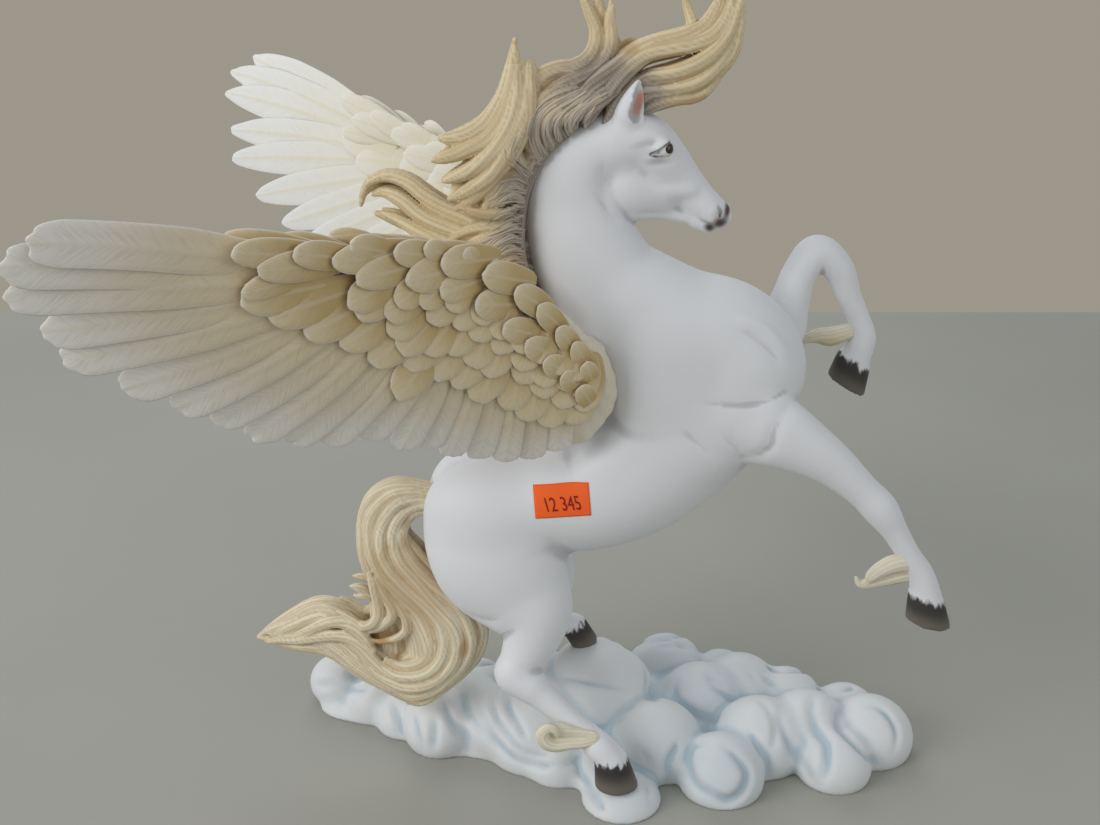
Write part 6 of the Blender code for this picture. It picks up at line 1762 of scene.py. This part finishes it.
hair = hair_tree()
strand_mesh = grown(strand_lines("mane_strands", mane_strands), hair, Sides=6, Finish=mane_paint)
mane = joined("mane_locks", [mane_mesh, strand_mesh])
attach(mane, "root")
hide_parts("mane")

# Tail: one casting set into the rump, swept down and round over the cloud, made and
# painted as the mane is.
TAIL_STEP = 0.6
TAIL_SHADOWS = [
    ((-64, 56), (9, 4), -8, 0.85), ((-33, 57), (3, 6), 10, 0.6),
    ((-62, 95), (3, 7), 10, 0.35), ((-54, 98), (3, 5), -20, 0.3),
    ((-52, 82), (26, 24), 0, 0.42),
]
TAIL_CORES = [  # x, y, z, radius in the side view, half of the depth
    [(-36, 0, 107, 4.4, 4.4), (-46, 0, 111, 4.6, 4.6), (-57, 0, 112, 6.4, 6.0),
     (-63, -1, 105, 7.0, 6.4), (-64, -2, 94, 7.8, 8.0), (-59, -3, 81, 8.8, 8.8),
     (-51, -4, 69, 11.2, 9.6), (-44, -5, 56, 12.8, 10.6), (-46, -5, 44, 12.0, 10.0),
     (-58, -4, 37.5, 9.2, 8.6), (-73, -2, 44, 8.4, 7.6), (-87, 0, 53, 7.4, 6.6),
     (-102, 2, 56, 4.6, 4.6), (-112, 4, 50, 1.2, 1.2)],
    [(-61, -1, 86, 3.5, 4.0), (-64, -1, 74, 5.0, 5.0), (-64, -1, 62, 6.5, 6.0),
     (-62, -1, 50, 6.0, 6.0)],
]
# Locks that lie on it, one on each side: x, the pair's middle y, how far out of it, z, radius
TAIL_LOCKS = [
    [(-43.3, 0.0, 1.9, 116.9, 1.6), (-51.9, 0.0, 2.3, 118.4, 2.2), (-58.5, 0.0, 2.5, 118.5, 2.6),
     (-64.3, -0.2, 2.6, 115.6, 2.8), (-68.3, -0.8, 2.9, 110.9, 2.8),
     (-70.3, -1.2, 3.1, 104.8, 2.7), (-70.7, -1.8, 3.6, 97.1, 2.7), (-69.9, -2.2, 3.7, 89.7, 2.6),
     (-67.9, -2.7, 3.9, 83.1, 2.6), (-64.0, -3.0, 4.0, 78.3, 2.7), (-58.7, -3.5, 4.2, 72.5, 2.8),
     (-54.7, -4.0, 4.4, 67.8, 2.7), (-51.7, -4.3, 4.6, 62.5, 2.5), (-50.9, -4.7, 4.7, 56.4, 2.3),
     (-52.1, -5.0, 4.7, 51.0, 2), (-56.2, -4.5, 4.3, 47.6, 1.4)],
    [(-43.2, 0.0, 3.4, 115.9, 1.4), (-51.1, 0.0, 3.9, 116.9, 2), (-57.4, 0.0, 4.5, 116.4, 2.4),
     (-62.2, -0.2, 4.6, 113.3, 2.6), (-65.8, -0.8, 5.2, 108.7, 2.6),
     (-67.5, -1.2, 5.6, 102.7, 2.6), (-67.5, -1.8, 6.3, 96.3, 2.5), (-66.1, -2.2, 6.6, 89.8, 2.5),
     (-62.8, -2.7, 6.9, 84.1, 2.6), (-58.4, -3.2, 7.3, 79.5, 2.7), (-53.1, -3.7, 7.6, 74.6, 2.8),
     (-48.3, -4.0, 7.9, 69.5, 2.8), (-45.7, -4.5, 8.3, 63.7, 2.7), (-45.1, -4.8, 8.5, 57.3, 2.6),
     (-47.3, -5.0, 8.4, 51.3, 2.5), (-52.3, -4.7, 7.8, 47.1, 2.4), (-58.8, -3.7, 7.0, 45.5, 2),
     (-63.7, -3.0, 6.8, 47.8, 1.2)],
    [(-43.2, 0.0, 4.2, 114.1, 1.4), (-50.1, 0.0, 4.7, 114.7, 2), (-56.1, 0.0, 5.6, 113.6, 2.4),
     (-60.0, -0.3, 6.0, 110.1, 2.5), (-62.7, -0.8, 6.5, 105.6, 2.5),
     (-63.7, -1.5, 7.4, 100.1, 2.5), (-62.8, -2.0, 8.2, 94.3, 2.5), (-60.3, -2.5, 8.6, 88.3, 2.6),
     (-55.9, -3.0, 8.9, 82.7, 2.7), (-50.8, -3.5, 9.4, 77.8, 2.8), (-45.5, -4.0, 9.9, 72.2, 2.9),
     (-41.5, -4.5, 10.3, 65.7, 2.9), (-40.0, -5.0, 10.8, 58.8, 2.8),
     (-41.4, -5.0, 10.6, 51.9, 2.7), (-45.5, -5.0, 10.3, 46.5, 2.6), (-52.0, -4.5, 9.6, 42.9, 2.5),
     (-59.5, -3.7, 8.8, 42.2, 2.3), (-65.1, -2.7, 8.3, 45.3, 1.6), (-69.1, -2.0, 8.0, 49.6, 1)],
    [(-43.3, 0.0, 4.2, 111.9, 1.4), (-49.6, 0.0, 4.7, 111.7, 2), (-54.1, 0.0, 5.1, 109.9, 2.3),
     (-57.4, -0.5, 6.1, 106.6, 2.4), (-59.1, -1.2, 6.9, 101.9, 2.5), (-58.7, -1.7, 7.7, 96.1, 2.5),
     (-56.2, -2.5, 8.6, 90.6, 2.6), (-51.7, -3.0, 8.9, 85.0, 2.7), (-46.7, -3.5, 9.4, 79.4, 2.8),
     (-41.4, -4.0, 9.9, 73.0, 3), (-37.1, -4.7, 10.5, 65.9, 3), (-35.8, -5.0, 10.8, 58.0, 3),
     (-37.5, -5.0, 10.6, 50.3, 2.9), (-41.8, -5.0, 10.2, 44.0, 2.8), (-48.3, -4.7, 9.8, 39.5, 2.8),
     (-56.1, -4.2, 9.1, 37.5, 2.6), (-63.1, -3.3, 8.6, 39.8, 2.4), (-69.4, -2.3, 8.2, 44.2, 1.8),
     (-72.7, -1.7, 7.8, 48.4, 1.1)],
    [(-44.1, 0.0, 3.6, 109.3, 1.2), (-50.4, 0.0, 4.0, 108.4, 1.8), (-54.4, 0.0, 4.4, 104.8, 2.2),
     (-56.0, -1.3, 6.1, 101.2, 2.4), (-55.2, -1.7, 6.5, 95.9, 2.5), (-52.4, -2.5, 7.3, 91.0, 2.6),
     (-47.8, -3.2, 7.7, 85.5, 2.7), (-42.5, -3.7, 8.1, 80.0, 2.9), (-37.0, -4.2, 8.5, 74.2, 3),
     (-32.5, -4.7, 8.9, 67.7, 3), (-30.6, -5.0, 9.2, 60.2, 2.8), (-32.0, -5.0, 9.1, 52.2, 2.8),
     (-36.0, -5.0, 8.8, 45.1, 2.8), (-41.8, -5.0, 8.7, 39.4, 2.8), (-47.9, -4.5, 8.1, 34.9, 2.7),
     (-54.4, -4.0, 7.6, 32.7, 2.4), (-59.9, -4.0, 7.6, 35.1, 1.6)],
    [(-56.0, -0.5, 3.1, 104.4, 1.2), (-54.7, -1.5, 3.7, 98.9, 1.8), (-51.4, -2.3, 4.2, 94.3, 2.2),
     (-47.5, -2.7, 4.3, 89.2, 2.5), (-42.7, -3.5, 4.7, 83.3, 2.7), (-37.2, -4.0, 4.9, 76.7, 2.9),
     (-31.5, -4.5, 5.2, 70.9, 3), (-27.3, -5.0, 5.4, 65.0, 3), (-26.6, -5.0, 5.4, 57.9, 2.9),
     (-29.0, -5.0, 5.3, 49.7, 2.8), (-33.3, -5.0, 5.2, 44.0, 2.8), (-38.2, -5.0, 5.1, 39.0, 2.8),
     (-44.0, -4.8, 5.0, 33.5, 2.7), (-49.5, -4.2, 4.6, 28.6, 2.4), (-55.6, -4.0, 4.5, 27.5, 1.6)],
    [(-49.5, -2.8, 8.4, 88.0, 0.9), (-44.3, -3.5, 8.9, 81.0, 1.6), (-39.7, -4.0, 9.4, 75.4, 2),
     (-35.7, -4.5, 9.8, 69.7, 2), (-33.7, -4.8, 10.1, 65.4, 1.4), (-33.1, -5.0, 10.2, 60.9, 0.8)],
    [(-52.1, -4.0, 4.5, 27.9, 2.2), (-59.0, -4.0, 4.5, 31.3, 2.6), (-65.9, -3.3, 4.3, 35.7, 2.7),
     (-73.0, -2.3, 4.1, 39.0, 2.7), (-78.5, -1.7, 3.9, 42.2, 2.6), (-83.4, -0.7, 3.7, 45.9, 2.5),
     (-90.5, 0.3, 3.4, 48.4, 2.4), (-99.2, 1.3, 2.9, 48.7, 2.2), (-107.5, 3.0, 1.7, 48.8, 1.9),
     (-112.7, 3.7, 1.1, 49.4, 1.4), (-116.5, 4.0, 0.7, 49.6, 0.6)],
    [(-61.0, -3.3, 8.2, 40.8, 1.6), (-65.9, -2.7, 7.9, 44.2, 2.4), (-70.3, -2.0, 7.6, 48.5, 2.7),
     (-74.0, -1.3, 7.3, 53.1, 2.8), (-78.1, -0.7, 7.0, 56.2, 2.7), (-83.8, 0.0, 6.7, 56.8, 2.6),
     (-91.0, 0.7, 6.1, 55.2, 2.4), (-98.4, 1.3, 5.5, 53.2, 2.2), (-106.1, 2.7, 3.8, 51.3, 1.8),
     (-111.8, 3.7, 2.0, 48.7, 1)],
    [(-68.7, -2.0, 7.6, 51.7, 1.4), (-71.4, -1.3, 7.3, 56.0, 2.3), (-75.1, -0.7, 7.0, 60.2, 2.7),
     (-79.6, 0.0, 6.7, 62.4, 2.7), (-84.4, 0.0, 6.7, 62.8, 2.6), (-89.7, 0.7, 6.1, 60.4, 2.5),
     (-94.8, 1.0, 5.8, 57.2, 2.2), (-99.8, 1.7, 5.2, 54.6, 1.9), (-106.0, 2.7, 3.8, 53.3, 1.4),
     (-110.9, 3.3, 2.6, 53.0, 0.8)],
    [(-72.9, -1.3, 3.8, 56.2, 1.6), (-76.3, -0.7, 3.7, 60.6, 2.3), (-80.4, 0.0, 3.5, 63.7, 2.6),
     (-85.1, 0.0, 3.5, 66.1, 2.7), (-90.4, 0.7, 3.2, 66.3, 2.7), (-95.6, 1.3, 2.9, 64.1, 2.6),
     (-101.3, 2.0, 2.6, 60.3, 2.4), (-106.6, 2.3, 2.3, 56.9, 2), (-111.5, 3.3, 1.4, 53.5, 1.4),
     (-115.4, 4.0, 0.7, 50.6, 0.7)],
    [(-84.2, 0.0, 5.7, 63.7, 1.4), (-89.2, 0.7, 5.2, 64.2, 2.1), (-94.4, 1.3, 4.7, 61.9, 2.3),
     (-99.6, 1.7, 4.4, 58.8, 2.2), (-105.1, 2.3, 3.7, 55.5, 1.7), (-109.1, 3.0, 2.7, 52.4, 1)],
    [(-68.4, -2.3, 8.4, 86.2, 1.2), (-67.0, -2.8, 8.8, 81.4, 1.9), (-65.7, -3.0, 8.9, 75.3, 2.2),
     (-65.4, -3.3, 9.2, 70.3, 2.3), (-67.6, -3.5, 9.4, 66.1, 2.2), (-72.1, -1.0, 7.5, 62.1, 2),
     (-76.3, -0.3, 7.2, 64.3, 1.6), (-79.7, 0.0, 7.1, 66.6, 1.2), (-82.0, 0.0, 7.1, 67.8, 0.7)],
    [(-65.9, -2.7, 8.2, 84.0, 1.2), (-63.1, -3.0, 8.5, 78.2, 1.9), (-60.5, -3.3, 8.8, 73.1, 2.2),
     (-60.3, -3.7, 9.1, 68.8, 2.2), (-63.9, -3.7, 9.1, 64.9, 2), (-69.1, -1.3, 7.3, 60.4, 1.6),
     (-73.0, -1.0, 7.2, 59.3, 0.9)],
    [(-61.5, -3.0, 8.0, 77.9, 1), (-57.5, -3.5, 8.5, 72.6, 1.7), (-54.9, -4.0, 8.9, 67.3, 1.9),
     (-55.4, -4.2, 9.0, 62.4, 1.8), (-59.6, -4.3, 9.2, 59.4, 1.6), (-65.4, -2.3, 7.3, 55.8, 1.2),
     (-69.7, -1.7, 7.1, 56.0, 0.7)],
    [(-68.4, -3.0, 5.4, 75.6, 1.2), (-70.7, -2.8, 5.3, 78.0, 1.7), (-73.3, -2.8, 5.3, 79.0, 1.6),
     (-76.1, -2.7, 5.2, 79.2, 0.7)],
    [(-68.8, -3.2, 2.7, 72.6, 1.2), (-71.2, -3.0, 2.7, 73.7, 1.5), (-73.6, -3.0, 2.7, 73.7, 1.2),
     (-75.3, -3.0, 2.7, 74.1, 0.6)],
]
tail_mesh, _ = combed_hair("tail_clay", TAIL_CORES, paired(TAIL_LOCKS, 0.5), (-122, -22, 20),
                                   (-18, 20, 124), TAIL_STEP, 0.8, 1.9, 0.45)
TAIL_CREAM = (0.80, 0.725, 0.545)
tail_paint = hair_finish("tail_paint", hair_paint, TAIL_CREAM, MANE_WASH_AND_SHADE, MANE_ROOT, MANE_ROOT_WASH_AND_SHADE,
                         MANE_AMBER, TAIL_SHADOWS)
tail_mesh.materials.append(tail_paint)
tail = bpy.data.objects.new("tail_locks", tail_mesh)
bpy.context.collection.objects.link(tail)
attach(tail, "root")
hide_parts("tail")

# Fetlock tufts: a wavy tuft of hair behind each pastern, cast with the leg and painted
# cream, with a golden wash between the strands that is partly painted shade. Combed as the
# mane is.
TUFT_STEP = 0.42
TUFTS = [  # x, y, z, radius in the side view, half width across
    [[(133.8, -23.2, 95.6, 3.2, 2.8), (129.6, -24.4, 98.0, 3.4, 2.8), (125.4, -25.0, 98.2, 3.5, 2.9),
      (121.4, -24.8, 96.2, 3.2, 2.6), (118.2, -24.0, 93.0, 2.4, 2.2), (117.0, -23.4, 90.6, 1.2, 1.2)],
     [(134.0, -22.6, 93.2, 3.0, 2.8), (130.0, -22.4, 93.0, 3.6, 3.0), (125.6, -22.0, 91.4, 3.4, 3.0),
      (121.4, -21.8, 89.8, 2.6, 2.4), (117.4, -22.0, 88.4, 2.0, 1.9), (114.2, -22.2, 88.6, 1.5, 1.4),
      (112.6, -22.4, 91.0, 0.7, 0.7)],
     [(131.4, -21.8, 96.6, 3.0, 2.6), (126.6, -21.2, 96.4, 3.4, 2.8), (122.0, -21.2, 94.0, 3.0, 2.6),
      (118.6, -21.8, 91.6, 1.8, 1.6)]],
    [[(116.0, 23.2, 171.8, 2.8, 2.6), (112.0, 23.0, 171.0, 3.2, 2.9), (108.6, 23.0, 169.9, 3.6, 3.2),
      (105.6, 23.0, 169.2, 3.7, 3.2), (101.6, 23.0, 169.4, 2.9, 2.7), (98.0, 23.0, 168.6, 2.0, 1.9),
      (95.2, 23.0, 166.6, 0.7, 0.7)]],
    [[(16.5, -37.0, 30.4, 2.6, 2.6), (11.6, -38.2, 29.6, 2.2, 2.4), (6.8, -39.2, 29.6, 2.0, 2.3),
      (2.2, -40.2, 29.6, 2.2, 2.4), (-1.6, -40.6, 31.4, 2.5, 2.4), (-3.0, -40.4, 35.0, 2.5, 2.2),
      (-0.6, -40.0, 37.6, 2.0, 2.0), (2.2, -40.4, 36.4, 1.4, 1.4), (2.8, -40.6, 34.4, 0.7, 0.7)],
     [(15.0, -36.6, 31.6, 2.4, 2.2), (9.4, -37.2, 33.0, 2.8, 2.0), (4.0, -37.8, 34.4, 3.6, 2.0),
      (0.0, -38.2, 35.4, 2.6, 1.6)]],
    [[(12.0, 23.0, 43.0, 3.0, 2.8), (8.0, 23.4, 41.8, 3.2, 2.8), (4.2, 24.0, 39.9, 3.0, 2.6),
      (1.0, 24.6, 37.9, 2.5, 2.2), (-1.2, 25.0, 36.6, 1.5, 1.3)]],
]
TUFT_CREAM = (0.80, 0.765, 0.635)
TUFT_WASH_AND_SHADE = (0.60, 0.49, 0.27)
TUFT_SHADOWS = [((128.0, 88.5), (7.0, 3.2), -8, 0.7), ((106.0, 167.0), (12.0, 5.0), 0, 0.55)]
TUFT_AMBER = (0.62, 0.47, 0.22)
tuft_paint = hair_finish("tuft_paint", hair_paint, TUFT_CREAM, TUFT_WASH_AND_SHADE, TUFT_CREAM, TUFT_WASH_AND_SHADE,
                         TUFT_AMBER, TUFT_SHADOWS)
tuft_meshes = []
for locks in TUFTS:
    rows = np.array([row for lock in locks for row in lock])
    tuft_mesh, _ = combed_hair("tuft_clay", locks, [], rows[:, :3].min(0) - 7.0,
                                       rows[:, :3].max(0) + 7.0, TUFT_STEP, 0.6, 1.7, 0.36)
    tuft_mesh.materials.append(tuft_paint)
    tuft_meshes.append(tuft_mesh)
tufts = joined("fetlock_tufts", tuft_meshes)
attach(tufts, "root")
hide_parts("horse_body")

# Price label: a small orange paper stuck on the flank, which follows its curve, with plain
# dark red digits. The paper is a closed sheet, and the digits lie just on it.
LABEL_CENTRE = (4.3, 122.8)
LABEL_SIZE = (20.0, 11.5)
LABEL_TURN = math.radians(4.8)
LABEL_CELLS = (28, 16)
PAPER_LIFT = (0.02, 0.22)
INK_LIFT = 0.34
DIGITS = "12 345"
DIGIT_HEIGHT = 4.9
DIGIT_SQUEEZE = 0.70
DIGIT_LEAN = -0.22
DIGIT_DROP = 1.2
INK_EDGE = 0.7
LABEL_ORANGE = (1.0, 0.14, 0.02)
INK_RED = (0.24, 0.012, 0.006)
flank = BVHTree.FromObject(horse, bpy.context.evaluated_depsgraph_get())


def on_flank(across, up, lift):
    """Place in millimetres on the near flank, from the label's middle, lifted off the skin."""
    x = LABEL_CENTRE[0] + across * math.cos(LABEL_TURN) - up * math.sin(LABEL_TURN)
    z = LABEL_CENTRE[1] + across * math.sin(LABEL_TURN) + up * math.cos(LABEL_TURN)
    hit, normal, _, _ = flank.ray_cast(Vector((x, -80.0, z)) * MM, Vector((0.0, 1.0, 0.0)))
    return np.array(hit) / MM + np.array(normal) * lift


count, rows = LABEL_CELLS
points, faces = [], []
for lift in PAPER_LIFT:
    for j in range(rows + 1):
        for i in range(count + 1):
            points.append(on_flank((i / count - 0.5) * LABEL_SIZE[0], (j / rows - 0.5) * LABEL_SIZE[1],
                                   lift))
layer_size = (count + 1) * (rows + 1)
for j in range(rows):
    for i in range(count):
        a = j * (count + 1) + i
        faces.append((a, a + count + 1, a + count + 2, a + 1))
        a += layer_size
        faces.append((a, a + 1, a + count + 2, a + count + 1))
ring = [i for i in range(count + 1)] + [j * (count + 1) + count for j in range(1, rows + 1)]
ring += [rows * (count + 1) + i for i in range(count - 1, -1, -1)]
ring += [j * (count + 1) for j in range(rows - 1, 0, -1)]
for a, b in zip(ring, ring[1:] + ring[:1]):
    faces.append((a, b, b + layer_size, a + layer_size))
paper_mesh = mesh_from("label_paper", np.array(points), np.array(faces))
paper, tree, shader = new_finish("label_paper", 0.6, 0.0)
shader.inputs["Base Color"].default_value = (*LABEL_ORANGE, 1.0)
paper_mesh.materials.append(paper)
text = bpy.data.curves.new("digits", "FONT")
text.body = DIGITS
text.align_x = "CENTER"
text.align_y = "CENTER"
text.size = DIGIT_HEIGHT / 0.7
text.resolution_u = 3
text.extrude = 0.05
digits = bpy.data.objects.new("digits", text)
bpy.context.collection.objects.link(digits)
bpy.context.view_layer.update()
depsgraph = bpy.context.evaluated_depsgraph_get()
ink_mesh = bpy.data.meshes.new_from_object(digits.evaluated_get(depsgraph))
bpy.data.objects.remove(digits)
bm = bmesh.new()
bm.from_mesh(ink_mesh)
bmesh.ops.remove_doubles(bm, verts=bm.verts, dist=1e-5)
bmesh.ops.triangulate(bm, faces=bm.faces)
for _ in range(2):
    long_edges = [edge for edge in bm.edges if edge.calc_length() > INK_EDGE]
    bmesh.ops.subdivide_edges(bm, edges=long_edges, cuts=1)
    bmesh.ops.triangulate(bm, faces=bm.faces)
bm.to_mesh(ink_mesh)
bm.free()
for vertex in ink_mesh.vertices:
    across, up, lift = vertex.co
    vertex.co = Vector(on_flank(across * DIGIT_SQUEEZE + up * DIGIT_LEAN, up - DIGIT_DROP,
                                 INK_LIFT + lift)) * MM
ink, tree, shader = new_finish("label_ink", 0.5, 0.0)
shader.inputs["Base Color"].default_value = (*INK_RED, 1.0)
ink_mesh.materials.clear()
ink_mesh.materials.append(ink)
label = joined("label", [paper_mesh, ink_mesh])
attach(label, "root")
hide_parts("price_label")
